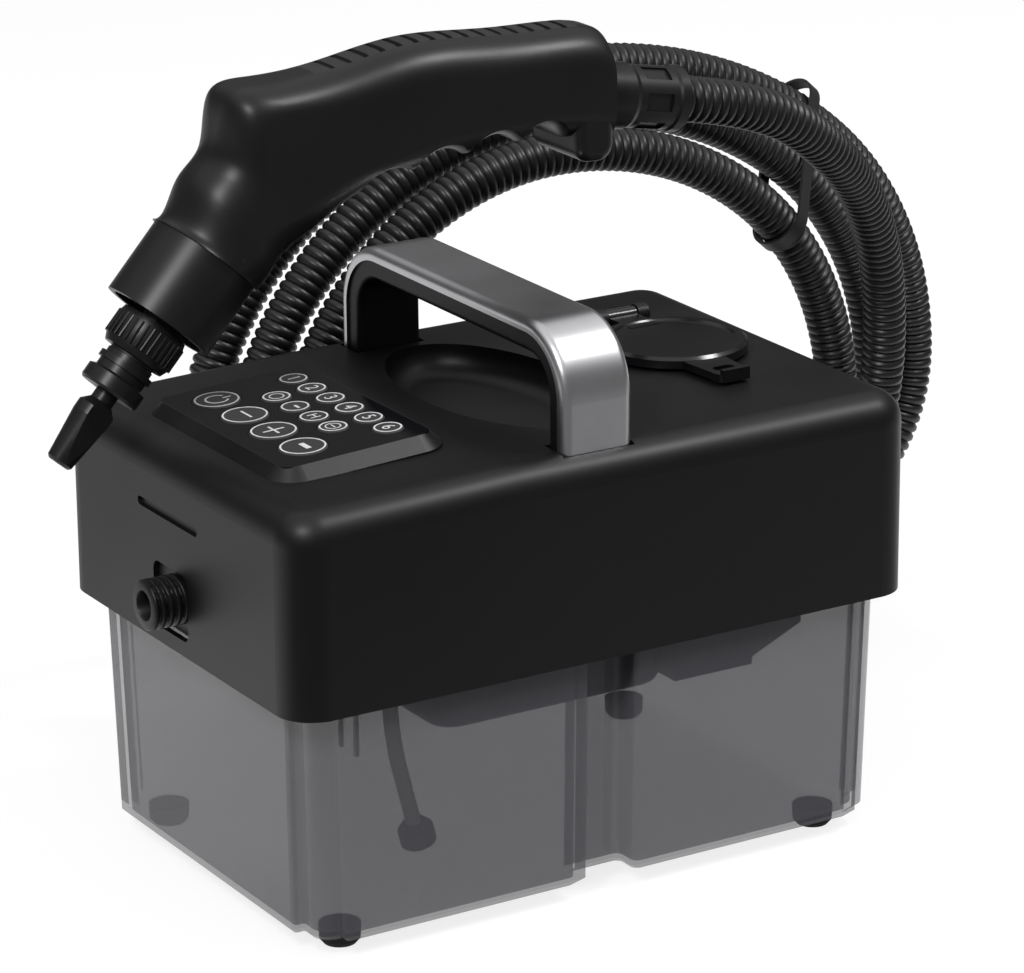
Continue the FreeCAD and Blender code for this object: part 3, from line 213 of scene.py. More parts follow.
def dust_group():
    """Thin dust that settles on faces that look up."""
    tree, given, made = group_tree(
        "dust_film",
        [("Vector", "NodeSocketVector", None), ("Normal", "NodeSocketVector", None),
         ("Colour", "NodeSocketColor", (0.5, 0.5, 0.5, 1)), ("Roughness", "NodeSocketFloat", 0.4),
         ("Amount", "NodeSocketFloat", 0.02)],
        [("Colour", "NodeSocketColor"), ("Roughness", "NodeSocketFloat")])
    link = tree.links.new
    speck = tree.nodes.new("ShaderNodeTexNoise")
    speck.inputs["Scale"].default_value = 60
    speck.inputs["Detail"].default_value = 6
    link(given.outputs["Vector"], speck.inputs["Vector"])
    split = tree.nodes.new("ShaderNodeSeparateXYZ")
    link(given.outputs["Normal"], split.inputs[0])
    up = math_node(tree, "MAXIMUM", split.outputs["Z"], 0.0)
    mask = math_node(tree, "MULTIPLY", math_node(tree, "MULTIPLY", up, speck.outputs["Fac"]),
                     given.outputs["Amount"], clamp=True)
    mix = tree.nodes.new("ShaderNodeMix")
    mix.data_type = "RGBA"
    mix.inputs["B"].default_value = (0.32, 0.31, 0.30, 1)
    link(mask, mix.inputs["Factor"])
    link(given.outputs["Colour"], mix.inputs["A"])
    link(mix.outputs["Result"], made.inputs["Colour"])
    duller = math_node(tree, "MULTIPLY", mask, 1.5)
    link(math_node(tree, "ADD", given.outputs["Roughness"], duller, clamp=True), made.inputs["Roughness"])
    return tree


def drawn_group():
    """Fine lines along one direction, as on satin metal."""
    tree, given, made = group_tree(
        "drawn_lines",
        [("Vector", "NodeSocketVector", None), ("Stretch", "NodeSocketVector", (1.0, 0.02, 1.0)),
         ("Roughness", "NodeSocketFloat", 0.3), ("Spread", "NodeSocketFloat", 0.05)],
        [("Roughness", "NodeSocketFloat"), ("Height", "NodeSocketFloat")])
    link = tree.links.new
    scale = tree.nodes.new("ShaderNodeVectorMath")
    scale.operation = "MULTIPLY"
    link(given.outputs["Vector"], scale.inputs[0])
    link(given.outputs["Stretch"], scale.inputs[1])
    lines = tree.nodes.new("ShaderNodeTexNoise")
    lines.inputs["Scale"].default_value = 1500
    lines.inputs["Detail"].default_value = 3
    link(scale.outputs["Vector"], lines.inputs["Vector"])
    swing = math_node(tree, "MULTIPLY", math_node(tree, "SUBTRACT", lines.outputs["Fac"], 0.5),
                      given.outputs["Spread"])
    link(math_node(tree, "ADD", given.outputs["Roughness"], swing, clamp=True), made.inputs["Roughness"])
    link(lines.outputs["Fac"], made.inputs["Height"])
    return tree


GROUPS = {}


def shader_group(tree, name):
    if not GROUPS:
        GROUPS.update(moulded=moulded_group(), dust=dust_group(), drawn=drawn_group())
    node = tree.nodes.new("ShaderNodeGroup")
    node.node_tree = GROUPS[name]
    return node


def bump(material, shader, height, strength, distance):
    node = material.node_tree.nodes.new("ShaderNodeBump")
    node.inputs["Strength"].default_value = strength
    node.inputs["Distance"].default_value = distance
    material.node_tree.links.new(height, node.inputs["Height"])
    material.node_tree.links.new(node.outputs["Normal"], shader.inputs["Normal"])


def moulded(name, colour, roughness, spread=0.05, grain=900.0, depth=0.00002, strength=0.12, dust=0.015,
            **values):
    """Moulded plastic or rubber with grain, uneven gloss and a little dust."""
    material, shader = principled(name, **values)
    tree = material.node_tree
    place = tree.nodes.new("ShaderNodeTexCoord")
    surface = tree.nodes.new("ShaderNodeNewGeometry")
    grained = shader_group(tree, "moulded")
    grained.inputs["Colour"].default_value = rgba(colour)
    grained.inputs["Roughness"].default_value = roughness
    grained.inputs["Spread"].default_value = spread
    grained.inputs["Grain Scale"].default_value = grain
    dusty = shader_group(tree, "dust")
    dusty.inputs["Amount"].default_value = dust
    link = tree.links.new
    link(place.outputs["Object"], grained.inputs["Vector"])
    link(place.outputs["Object"], dusty.inputs["Vector"])
    link(surface.outputs["Normal"], dusty.inputs["Normal"])
    link(grained.outputs["Colour"], dusty.inputs["Colour"])
    link(grained.outputs["Roughness"], dusty.inputs["Roughness"])
    link(dusty.outputs["Colour"], shader.inputs["Base Color"])
    link(dusty.outputs["Roughness"], shader.inputs["Roughness"])
    bump(material, shader, grained.outputs["Height"], strength, depth)
    return material


def metal(name, colour, roughness, stretch, spread=0.06, strength=0.08):
    material, shader = principled(name, Metallic=1.0)
    tree = material.node_tree
    place = tree.nodes.new("ShaderNodeTexCoord")
    grained = shader_group(tree, "moulded")
    grained.inputs["Colour"].default_value = rgba(colour)
    grained.inputs["Patch Scale"].default_value = 30
    lines = shader_group(tree, "drawn")
    lines.inputs["Stretch"].default_value = stretch
    lines.inputs["Roughness"].default_value = roughness
    lines.inputs["Spread"].default_value = spread
    link = tree.links.new
    link(place.outputs["Object"], grained.inputs["Vector"])
    link(place.outputs["Object"], lines.inputs["Vector"])
    link(grained.outputs["Colour"], shader.inputs["Base Color"])
    link(lines.outputs["Roughness"], shader.inputs["Roughness"])
    bump(material, shader, lines.outputs["Height"], strength, 0.00001)
    return material


def smoked(name, tint, roughness):
    """Clear tinted plastic, a little uneven in tint and gloss."""
    material, shader = principled(name, Transmission_Weight=1.0, IOR=1.49)
    tree = material.node_tree
    place = tree.nodes.new("ShaderNodeTexCoord")
    grained = shader_group(tree, "moulded")
    grained.inputs["Colour"].default_value = rgba(tint)
    grained.inputs["Roughness"].default_value = roughness
    grained.inputs["Spread"].default_value = 0.01
    link = tree.links.new
    link(place.outputs["Object"], grained.inputs["Vector"])
    link(grained.outputs["Colour"], shader.inputs["Base Color"])
    link(grained.outputs["Roughness"], shader.inputs["Roughness"])
    return material


def finish_named(name):
    """The material of that finish, made on first use."""
    if name in bpy.data.materials:
        return bpy.data.materials[name]
    case = bpy.context.scene.case_sizes
    keypad = bpy.context.scene.keypad_sizes
    hose = bpy.context.scene.hose_sizes
    makers = {
        "case_plastic": lambda: moulded(name, case.colour, case.roughness, spread=0.02,
                                        Specular_IOR_Level=0.30),
        "gun_plastic": lambda: moulded(name, case.gun_colour, 0.36, Specular_IOR_Level=0.30),
        "dark_plastic": lambda: moulded(name, (0.008, 0.008, 0.009), 0.5),
        "glossy_black": lambda: moulded(name, (0.003, 0.003, 0.004), 0.10, spread=0.01, grain=60.0,
                                        strength=0.01, dust=0.004, Specular_IOR_Level=0.3),
        "cover_gloss": lambda: moulded(name, case.colour, 0.2, spread=0.03, grain=40.0, depth=0.0004,
                                       strength=0.25),
        "key_black": lambda: moulded(name, (0.004, 0.004, 0.005), 0.14, spread=0.01, strength=0.02,
                                     dust=0.004, Specular_IOR_Level=0.3),
        "mark_white": lambda: moulded(name, keypad.mark_colour, 0.5, strength=0.03, dust=0.0),
        "rubber": lambda: moulded(name, (0.012, 0.012, 0.012), 0.7, grain=500.0, strength=0.3, dust=0.03),
        "hose_plastic": lambda: moulded(name, hose.colour, 0.40, spread=0.06, dust=0.01,
                                        Specular_IOR_Level=0.45),
        "silicone": lambda: moulded(name, (0.45, 0.45, 0.43), 0.5, dust=0.0, Subsurface_Weight=0.2),
        "grey_plastic": lambda: moulded(name, (0.10, 0.10, 0.11), 0.5),
        "board_green": lambda: moulded(name, (0.01, 0.09, 0.035), 0.4, grain=300.0),
        "smoke_clear": lambda: smoked(name, case.smoke, 0.04),
        "satin_silver": lambda: metal(name, case.silver, 0.30, (1.0, 1.0, 1.0), spread=0.02, strength=0.01),
        "steel": lambda: metal(name, (0.55, 0.55, 0.56), 0.28, (1.0, 1.0, 0.05)),
        "cast_alloy": lambda: metal(name, (0.45, 0.45, 0.46), 0.5, (1.0, 1.0, 1.0), strength=0.4),
        "brass": lambda: metal(name, (0.65, 0.45, 0.16), 0.3, (1.0, 1.0, 0.05)),
    }
    return makers[name]()


# Making and placing pieces


def dress(finish, *names):
    """Gives carried-over nodes a finish."""
    for name in names:
        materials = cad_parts[name].data.materials
        materials.clear()
        materials.append(finish_named(finish))


def place(base, axis):
    """Matrix that puts local Z along axis and local Y to the back, at base, from millimetres."""
    z = Vector(axis).normalized()
    x = Vector((0, 1, 0)).cross(z).normalized()
    turn = Matrix((x, z.cross(x), z)).transposed().to_4x4()
    return Matrix.Scale(MM, 4) @ Matrix.Translation(base) @ turn


def panel_place():
    """Matrix that puts local Z up from the sloping keypad, at its middle."""
    tilt = Matrix.Rotation(-math.atan(PANEL_SLOPE), 4, "Y")
    return Matrix.Scale(MM, 4) @ Matrix.Translation(PANEL) @ tilt


def piece_from(name, mesh, finish, body, replaced=(), sharp=35):
    """Links a finished mesh as a piece on a body, in place, with its finish."""
    mesh.shade_smooth()
    mesh.set_sharp_from_angle(angle=math.radians(sharp))
    mesh.materials.clear()
    mesh.materials.append(finish_named(finish))
    piece = bpy.data.objects.new(name, mesh)
    bpy.context.scene.collection.objects.link(piece)
    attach(piece, body)
    if replaced:
        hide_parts(*replaced)
    return piece


def closed_mesh(name, bm, matrix):
    """Mesh of a closed shape, its doubles merged and its faces outwards, moved to its place."""
    bmesh.ops.remove_doubles(bm, verts=bm.verts, dist=1e-5)
    bmesh.ops.recalc_face_normals(bm, faces=bm.faces)
    mesh = bpy.data.meshes.new(name)
    bm.to_mesh(mesh)
    bm.free()
    mesh.transform(matrix)
    return mesh


def lathe(bm, profile, steps, radius_at=None):
    """Closed (radius, height) profile turned round Z; radius_at may shape it by angle and height."""
    rings = []
    for r, h in profile:
        ring = []
        for i in range(steps):
            angle = 2 * math.pi * i / steps
            shown = radius_at(r, h, angle) if radius_at else r
            ring.append(bm.verts.new((shown * math.cos(angle), shown * math.sin(angle), h)))
        rings.append(ring)
    for a, b in zip(rings, rings[1:] + rings[:1]):
        for i in range(steps):
            j = (i + 1) % steps
            bm.faces.new([a[i], a[j], b[j], b[i]])


def slab(bm, outline, low, high):
    """Straight-sided plate over an outline of (x, y) points."""
    below = [bm.verts.new((x, y, low)) for x, y in outline]
    above = [bm.verts.new((x, y, high)) for x, y in outline]
    bm.faces.new(above)
    bm.faces.new(below[::-1])
    for i in range(len(outline)):
        j = (i + 1) % len(outline)
        bm.faces.new([below[i], below[j], above[j], above[i]])


def rectangle(cx, cy, w, h):
    """Outline of a rectangle by its middle, width and height."""
    return [(cx + w / 2 * x, cy + h / 2 * y) for x, y in ((-1, -1), (1, -1), (1, 1), (-1, 1))]


def arc_band(inner, outer, start, end, steps=28):
    """Outline of a band between two radii, from one angle to another in degrees."""
    angles = [math.radians(start + (end - start) * i / steps) for i in range(steps + 1)]
    return [(outer * math.cos(a), outer * math.sin(a)) for a in angles] \
        + [(inner * math.cos(a), inner * math.sin(a)) for a in reversed(angles)]


# Geometry Nodes trees


def geometry_tree(name, inputs):
    tree = bpy.data.node_groups.new(name, "GeometryNodeTree")
    tree.interface.new_socket("Geometry", in_out="INPUT", socket_type="NodeSocketGeometry")
    for label, kind in inputs:
        tree.interface.new_socket(label, in_out="INPUT", socket_type=kind)
    tree.interface.new_socket("Geometry", in_out="OUTPUT", socket_type="NodeSocketGeometry")
    return tree, tree.nodes.new("NodeGroupInput"), tree.nodes.new("NodeGroupOutput")


def finish_tree(tree, given, made, geometry):
    """Ends a tree with real geometry and its material."""
    real = tree.nodes.new("GeometryNodeRealizeInstances")
    coat = tree.nodes.new("GeometryNodeSetMaterial")
    tree.links.new(geometry, real.inputs["Geometry"])
    tree.links.new(real.outputs["Geometry"], coat.inputs["Geometry"])
    tree.links.new(given.outputs["Material"], coat.inputs["Material"])
    tree.links.new(coat.outputs["Geometry"], made.inputs["Geometry"])


def ribbed_tube_tree():
    """Corrugated tube along a line: the radius swings once in each pitch."""
    tree, given, made = geometry_tree("ribbed_tube", [
        ("Radius", "NodeSocketFloat"), ("Depth", "NodeSocketFloat"), ("Pitch", "NodeSocketFloat"),
        ("Sides", "NodeSocketInt"), ("Material", "NodeSocketMaterial")])
    link = tree.links.new
    line = tree.nodes.new("GeometryNodeMeshToCurve")
    link(given.outputs["Geometry"], line.inputs["Mesh"])
    even = tree.nodes.new("GeometryNodeResampleCurve")
    even.mode = "LENGTH"
    link(line.outputs["Curve"], even.inputs["Curve"])
    link(math_node(tree, "DIVIDE", given.outputs["Pitch"], 4.0), even.inputs["Length"])
    index = tree.nodes.new("GeometryNodeInputIndex")
    quarter = math_node(tree, "MODULO", index.outputs["Index"], 4.0)
    valley = math_node(tree, "COMPARE", quarter, 0.0)
    valley.node.inputs[2].default_value = 0.1
    crest = math_node(tree, "COMPARE", quarter, 2.0)
    crest.node.inputs[2].default_value = 0.1
    side = math_node(tree, "MULTIPLY", math_node(tree, "SUBTRACT", 1.0, crest), 0.16)
    dip = math_node(tree, "MAXIMUM", valley, side)
    radius = math_node(tree, "SUBTRACT", given.outputs["Radius"], math_node(tree, "MULTIPLY", dip,
                                                                         given.outputs["Depth"]))
    ring = tree.nodes.new("GeometryNodeCurvePrimitiveCircle")
    ring.inputs["Radius"].default_value = 1.0
    link(given.outputs["Sides"], ring.inputs["Resolution"])
    skin = tree.nodes.new("GeometryNodeCurveToMesh")
    skin.inputs["Fill Caps"].default_value = True
    link(even.outputs["Curve"], skin.inputs["Curve"])
    link(ring.outputs["Curve"], skin.inputs["Profile Curve"])
    link(radius, skin.inputs["Scale"])
    smooth = tree.nodes.new("GeometryNodeSetShadeSmooth")
    link(skin.outputs["Mesh"], smooth.inputs["Geometry"])
    finish_tree(tree, given, made, smooth.outputs["Geometry"])
    return tree


def ring_pattern_tree():
    """Copies of a small solid set evenly round Z, facing outwards."""
    tree, given, made = geometry_tree("ring_pattern", [
        ("Count", "NodeSocketInt"), ("Radius", "NodeSocketFloat"), ("Material", "NodeSocketMaterial")])
    link = tree.links.new
    ring = tree.nodes.new("GeometryNodeMeshCircle")
    link(given.outputs["Count"], ring.inputs["Vertices"])
    link(given.outputs["Radius"], ring.inputs["Radius"])
    where = tree.nodes.new("GeometryNodeInputPosition")
    face = tree.nodes.new("FunctionNodeAlignRotationToVector")
    face.axis = "X"
    face.pivot_axis = "Z"
    link(where.outputs["Position"], face.inputs["Vector"])
    each = tree.nodes.new("GeometryNodeInstanceOnPoints")
    link(ring.outputs["Mesh"], each.inputs["Points"])
    link(given.outputs["Geometry"], each.inputs["Instance"])
    link(face.outputs["Rotation"], each.inputs["Rotation"])
    finish_tree(tree, given, made, each.outputs["Instances"])
    return tree


def grown(mesh, tree, values):
    """Runs a tree on a mesh and returns the plain mesh that it makes."""
    seed = bpy.data.objects.new("seed", mesh)
    bpy.context.scene.collection.objects.link(seed)
    modifier = seed.modifiers.new("Pattern", "NODES")
    modifier.node_group = tree
    for item in tree.interface.items_tree:
        if item.in_out == "INPUT" and item.name in values:
            modifier[item.identifier] = values[item.name]
    depsgraph = bpy.context.evaluated_depsgraph_get()
    result = bpy.data.meshes.new_from_object(seed.evaluated_get(depsgraph))
    bpy.data.objects.remove(seed)
    return result


# The hose


TAIL_POINTS = [(-75, 100, 125), (-75, 145, 125), (-68, 185, 105), (-47, 211, 74), (-16, 217, 41),
               (19, 202, 17), (54, 174, 9.5), (84, 162.9, 9.4)]
LEAD_POINTS = [(165, 104.4, 9.4), (212, 100, 25), (244, 97, 64), (255, 94, 114), (247, 84, 164),
               (221, 62, 206), (184, 36, 238)]
TURNS = 3
ARC_STEPS = 4
REST_HEIGHT = 9.4
SIDE_HEIGHT = 99
LAST_RUN = 42
# Half width, middle, depth and top of a loop, and how much each falls in a turn
LOOP_SHAPE = ((187, 23), (130.5, 11.5), (158, 19.5), (258, 12))


def arc_points(start, heading, end):
    """Points of the arc that leaves start along heading and reaches end."""
    chord = end - start
    angle = heading.angle(chord)
    inwards = (chord - heading * heading.dot(chord)).normalized()
    radius = chord.length / (2 * math.sin(angle))
    turns = [2 * angle * i / ARC_STEPS for i in range(ARC_STEPS + 1)]
    return [start + heading * (radius * math.sin(turn)) + inwards * (radius * (1 - math.cos(turn)))
            for turn in turns]


def loop_points():
    """Points of the three upright loops, as pairs of tangent arcs in each quarter turn."""
    stations = []
    for quarter in range(4 * TURNS + 1):
        turn = quarter / 4 - 0.25
        half, centre, y, top = (first - fall * turn for first, fall in LOOP_SHAPE)
        spot, heading = [((centre, y, REST_HEIGHT), (1, 0, 0)),
                         ((centre + half, y, SIDE_HEIGHT), (0, 0, 1)),
                         ((centre, y, top), (-1, 0, 0)),
                         ((centre - half, y, SIDE_HEIGHT), (0, 0, -1))][quarter % 4]
        stations.append((Vector(spot), Vector(heading)))
    points = [stations[0][0]]
    for (p0, t0), (p1, t1) in zip(stations, stations[1:]):
        chord, both = p1 - p0, t0 + t1
        spread = 2 * (1 - t0.dot(t1))
        reach = (-chord.dot(both) + math.sqrt(chord.dot(both) ** 2 + spread * chord.dot(chord))) / spread
        joint = (p0 + p1 + (t0 - t1) * reach) / 2
        points += arc_points(p0, t0, joint)[1:] + arc_points(p1, -t1, joint)[-2::-1]
    return [tuple(point) for point in points]


def hose_points():
    """Control points from the gland at the back, through the loops, to the gun."""
    end = [tuple(HOSE_END + CONNECTOR_AXIS * LAST_RUN), tuple(HOSE_END)]
    return TAIL_POINTS + loop_points() + LEAD_POINTS + end


def spline_line(points, resolution):
    """The smooth line of a NURBS curve through control points given in millimetres."""
    curve = bpy.data.curves.new("route", "CURVE")
    curve.dimensions = "3D"
    curve.resolution_u = resolution
    spline = curve.splines.new("NURBS")
    spline.points.add(len(points) - 1)
    for control, point in zip(spline.points, points):
        control.co = (point[0] * MM, point[1] * MM, point[2] * MM, 1)
    spline.order_u = 3
    spline.use_endpoint_u = True
    holder = bpy.data.objects.new("route", curve)
    bpy.context.scene.collection.objects.link(holder)
    depsgraph = bpy.context.evaluated_depsgraph_get()
    line = bpy.data.meshes.new_from_object(holder.evaluated_get(depsgraph))
    bpy.data.objects.remove(holder)
    return line


class STEAM_OT_hose(Operator):
    """Makes the corrugated hose from the back of the machine to the gun"""
    bl_idname = "steam.hose"
    bl_label = "Corrugated hose"

    def execute(self, context):
        sizes = context.scene.hose_sizes
        line = spline_line(hose_points(), 12)
        mesh = grown(line, ribbed_tube_tree(), {
            "Radius": sizes.diameter / 2, "Depth": sizes.depth, "Pitch": sizes.pitch, "Sides": sizes.sides,
            "Material": finish_named("hose_plastic")})
        hose = piece_from("corrugated_hose", mesh, "hose_plastic", "machine",
                          ("hose_lead", "hose_coil", "hose_tail"), sharp=80)
        dress("dark_plastic", "hose_tie")
        return {"FINISHED"}


# The machine


class STEAM_OT_case(Operator):
    """Finishes the head, its glands, seals, feet and the tank"""
    bl_idname = "steam.case"
    bl_label = "Head and tank"

    def execute(self, context):
        dress("case_plastic", "upper_housing", "handle_core", "base_tray", "filler_neck")
        dress("cover_gloss", "filler_cover")
        dress("dark_plastic", "cord_gland", "hose_outlet_gland")
        dress("smoke_clear", "water_tank")
        dress("satin_silver", "handle_band")
        dress("rubber", "tank_feet", "tank_seal", "cover_seal", "pump_mounts")
        dress("steel", "handle_screws", "housing_screws", "gun_screws", "cover_hinge_pin", "level_probes",
              "heating_element")
        return {"FINISHED"}


class STEAM_OT_works(Operator):
    """Finishes the pieces inside the head"""
    bl_idname = "steam.works"
    bl_label = "Inner works"

    def execute(self, context):
        dress("cast_alloy", "boiler")
        dress("brass", "relief_valve")
        dress("board_green", "keypad_board", "control_board")
        dress("silicone", "pump_tubes", "steam_tube", "pickup_tube", "gun_tube")
        dress("grey_plastic", "thermostat", "pump", "inlet_filter", "micro_switch")
        return {"FINISHED"}


def large_signs():
    """Outlines of the signs on the large keys, with the reader's right as x and up as y."""
    return {
        "key_power": [arc_band(3.9, 4.7, 122, 418), rectangle(0, 4.2, 0.8, 3.4)],
        "key_minus": [rectangle(0, 0.6, 8.4, 0.9)],
        "key_plus": [rectangle(0, 0, 8.4, 0.9), rectangle(0, 2.4, 0.9, 3.9), rectangle(0, -2.4, 0.9, 3.9)],
        "key_steam": [rectangle(0.5, 0.6, 6.4, 2.2)],
    }


def small_signs():
    """Outlines of the signs on the middle row of keys."""
    return {
        "key_mode_1": [arc_band(2.5, 3.0, 0, 358)],
        "key_mode_2": [rectangle(1.0, 0.2, 3.4, 1.2)],
        "key_mode_3": [rectangle(-1.6, 0, 0.6, 4.2), rectangle(1.6, 0, 0.6, 4.2),
                       rectangle(0, 0.2, 2.6, 0.6)],
        "key_mode_4": [arc_band(2.6, 3.1, 0, 358), rectangle(0, 0, 3.4, 0.5)],
    }


def key_places():
    """Name, x, y and radius of each key on the keypad, in millimetres from its middle."""
    rows = ((["key_power", "key_minus", "key_plus", "key_steam"], -14.5, 33.3, 22.2, 8.6),
            ([f"key_mode_{i}" for i in range(1, 5)], 4.7, 21.6, 14.4, 5.35),
            ([f"key_level_{i}" for i in range(1, 7)], 19.8, 35.75, 14.3, 5.35))
    return [(name, x, top - pitch * i, r) for names, x, top, pitch, r in rows for i, name in enumerate(names)]


def digit_mesh(digit, ink):
    """A plain digit as a thin plate, centred, with the reader's up as y."""
    text = bpy.data.curves.new("digit", "FONT")
    text.body = digit
    text.size = 7.4
    text.align_x = "CENTER"
    text.align_y = "CENTER"
    text.extrude = ink / 2
    holder = bpy.data.objects.new("digit", text)
    bpy.context.scene.collection.objects.link(holder)
    depsgraph = bpy.context.evaluated_depsgraph_get()
    mesh = bpy.data.meshes.new_from_object(holder.evaluated_get(depsgraph))
    bpy.data.objects.remove(holder)
    return mesh


class STEAM_OT_keypad(Operator):
    """Finishes the fascia and its keys, and prints a ring and a sign on each key"""
    bl_idname = "steam.keypad"
    bl_label = "Keypad"

    def execute(self, context):
        sizes = context.scene.keypad_sizes
        ink, ring_width = sizes.ink / MM, sizes.ring_width / MM
        dress("glossy_black", "keypad_fascia")
        signs = dict(large_signs(), **small_signs())
        reader = Matrix.Rotation(-math.pi / 2, 4, "Z")
        for name, x, y, r in key_places():
            dress("key_black", name)
            bm = bmesh.new()
            lathe(bm, [(r - ring_width, 0), (r, 0), (r, ink), (r - ring_width, ink)], 56)
            if name in signs:
                for outline in signs[name]:
                    slab(bm, outline, 0, ink)
            else:
                digit = digit_mesh(name[-1], ink)
                digit.transform(Matrix.Translation((0, 0, ink / 2)))
                bm.from_mesh(digit)
            spot = Matrix.Translation((x, y, KEY_TOP)) @ reader
            mesh = closed_mesh(name.replace("key", "mark"), bm, panel_place() @ spot)
            piece_from(name.replace("key", "mark"), mesh, "mark_white", name)
        return {"FINISHED"}


class STEAM_OT_outlet(Operator):
    """Makes the hollow outlet stub with its coarse thread"""
    bl_idname = "steam.outlet"
    bl_label = "Threaded outlet"

    def execute(self, context):
        sizes = context.scene.outlet_sizes
        pitch, depth = sizes.pitch / MM, sizes.depth / MM
        rings, run, mouth = 60, 14.0, 0.7
        bore, crest, root = 5.5, 9.75, 9.0
        threaded = [(crest, mouth + run * i / rings) for i in range(rings + 1)]

        def thread(r, h, angle):
            if r < crest or h <= mouth:
                return r
            phase = (h / pitch - angle / (2 * math.pi)) % 1.0
            return r - depth * min(1.0, max(0.0, abs(phase - 0.5) * 4 - 0.8))

        profile = [(bore, 14.5), (bore, 0.5), (bore + 0.4, 0.0), (root, 0.0)] + threaded
        profile += [(root, 14.8), (root, 14.5)]
        bm = bmesh.new()
        lathe(bm, profile, 72, thread)
        stub = closed_mesh("outlet_stub", bm, place(SPIGOT_BASE, (1, 0, 0)))
        piece_from("outlet_stub", stub, "case_plastic", "machine", ("threaded_spigot",), 50)
        bm = bmesh.new()
        slab(bm, rectangle(3, 121, 38, 26), 0, 2.5)
        bmesh.ops.bevel(bm, geom=list(bm.edges), offset=0.4, segments=2, affect="EDGES")
        flange = closed_mesh("outlet_flange", bm, Matrix.Scale(MM, 4) @ Matrix.Translation((-132.5, 0, 0))
                             @ Matrix(((0, 0, 1, 0), (1, 0, 0, 0), (0, 1, 0, 0), (0, 0, 0, 1))))
        piece_from("outlet_flange", flange, "dark_plastic", "machine")
        return {"FINISHED"}


class STEAM_OT_gun(Operator):
    """Finishes the steam gun and makes the knurled collar"""
    bl_idname = "steam.gun"
    bl_label = "Steam gun"

    def execute(self, context):
        sizes = context.scene.gun_sizes
        dress("gun_plastic", "gun_shell_left", "gun_shell_right", "barrel_sleeve", "nozzle_tip",
              "trigger_button", "hose_connector")
        dress("rubber", "grip_strip")
        dress("dark_plastic", "steam_pipe")
        collar = bmesh.new()
        profile = [(9.05, -16), (12.3, -16), (13.4, -13.5), (13.9, -4), (13.2, -1.5), (9.05, -1.5)]
        lathe(collar, profile, 96)
        base = closed_mesh("collar_base", collar, Matrix.Identity(4))
        ridge = bmesh.new()
        half = sizes.ridge / MM / 2
        outline = [(-1.2, -half), (0.35, -half * 0.55), (0.55, 0), (0.35, half * 0.55), (-1.2, half)]
        slab(ridge, outline, -13.2, -3.8)
        seed = closed_mesh("ridge", ridge, Matrix.Identity(4))
        ridges = grown(seed, ring_pattern_tree(), {
            "Count": sizes.ridges, "Radius": 13.75, "Material": finish_named("gun_plastic")})
        both = bmesh.new()
        both.from_mesh(base)
        both.from_mesh(ridges)
        mesh = bpy.data.meshes.new("knurled_collar")
        both.to_mesh(mesh)
        both.free()
        mesh.transform(place(BARREL, BARREL_AXIS))
        piece_from("knurled_collar", mesh, "gun_plastic", "collar", ("nozzle_collar",))
        return {"FINISHED"}


# The stage


LAMP_TARGET = Vector((0, 0, 0.2))
LAMP_DISTANCE = 1.9
FLOOR_REACH = 30
FLOOR_NEAR = (-0.36, -0.2)
FLOOR_BESIDE = (-0.12, 0.04)
FLOOR_BEYOND = (0.15, 0.4)


def soft_lamp(name, direction, size, power):
    """Square soft lamp that looks at the object from a direction."""
    lamp = bpy.data.lights.new(name, "AREA")
    lamp.shape = "RECTANGLE"
    lamp.size = lamp.size_y = size
    lamp.energy = power
    holder = bpy.data.objects.new(name, lamp)
    bpy.context.scene.collection.objects.link(holder)
    way = Vector(direction).normalized()
    holder.location = LAMP_TARGET + way * LAMP_DISTANCE
    holder.rotation_mode = "QUATERNION"
    holder.rotation_quaternion = way.to_track_quat("Z", "Y")


def mixed(tree, factor, a, b):
    """Value between a and b by a factor, each a number or a socket."""
    node = tree.nodes.new("ShaderNodeMix")
    for name, value in (("Factor", factor), ("A", a), ("B", b)):
        if isinstance(value, (int, float)):
            node.inputs[name].default_value = value
        else:
            tree.links.new(value, node.inputs[name])
    return node.outputs["Result"]


def mask_along(tree, way, start, end):
    """Mask that rises from 0 to 1 along a direction, over a floor point or a direction of the world."""
    spot = tree.nodes.new("ShaderNodeTexCoord")
    along = tree.nodes.new("ShaderNodeVectorMath")
    along.operation = "DOT_PRODUCT"
    source = "Generated" if tree == bpy.context.scene.world.node_tree else "Object"
    tree.links.new(spot.outputs[source], along.inputs[0])
    along.inputs[1].default_value = way
    ramp = tree.nodes.new("ShaderNodeMapRange")
    ramp.interpolation_type = "SMOOTHSTEP"
    ramp.inputs["From Min"].default_value = start
    ramp.inputs["From Max"].default_value = end
    tree.links.new(along.outputs["Value"], ramp.inputs["Value"])
    return ramp.outputs["Result"]


def seen_light(tree, seen, reflected, lighting):
    """Strength as seen directly or through glass, as reflected, and as it lights the object."""
    rays = tree.nodes.new("ShaderNodeLightPath")
    direct = math_node(tree, "MAXIMUM", rays.outputs["Is Camera Ray"], rays.outputs["Is Transmission Ray"])
    return mixed(tree, direct, mixed(tree, rays.outputs["Is Glossy Ray"], lighting, reflected), seen)


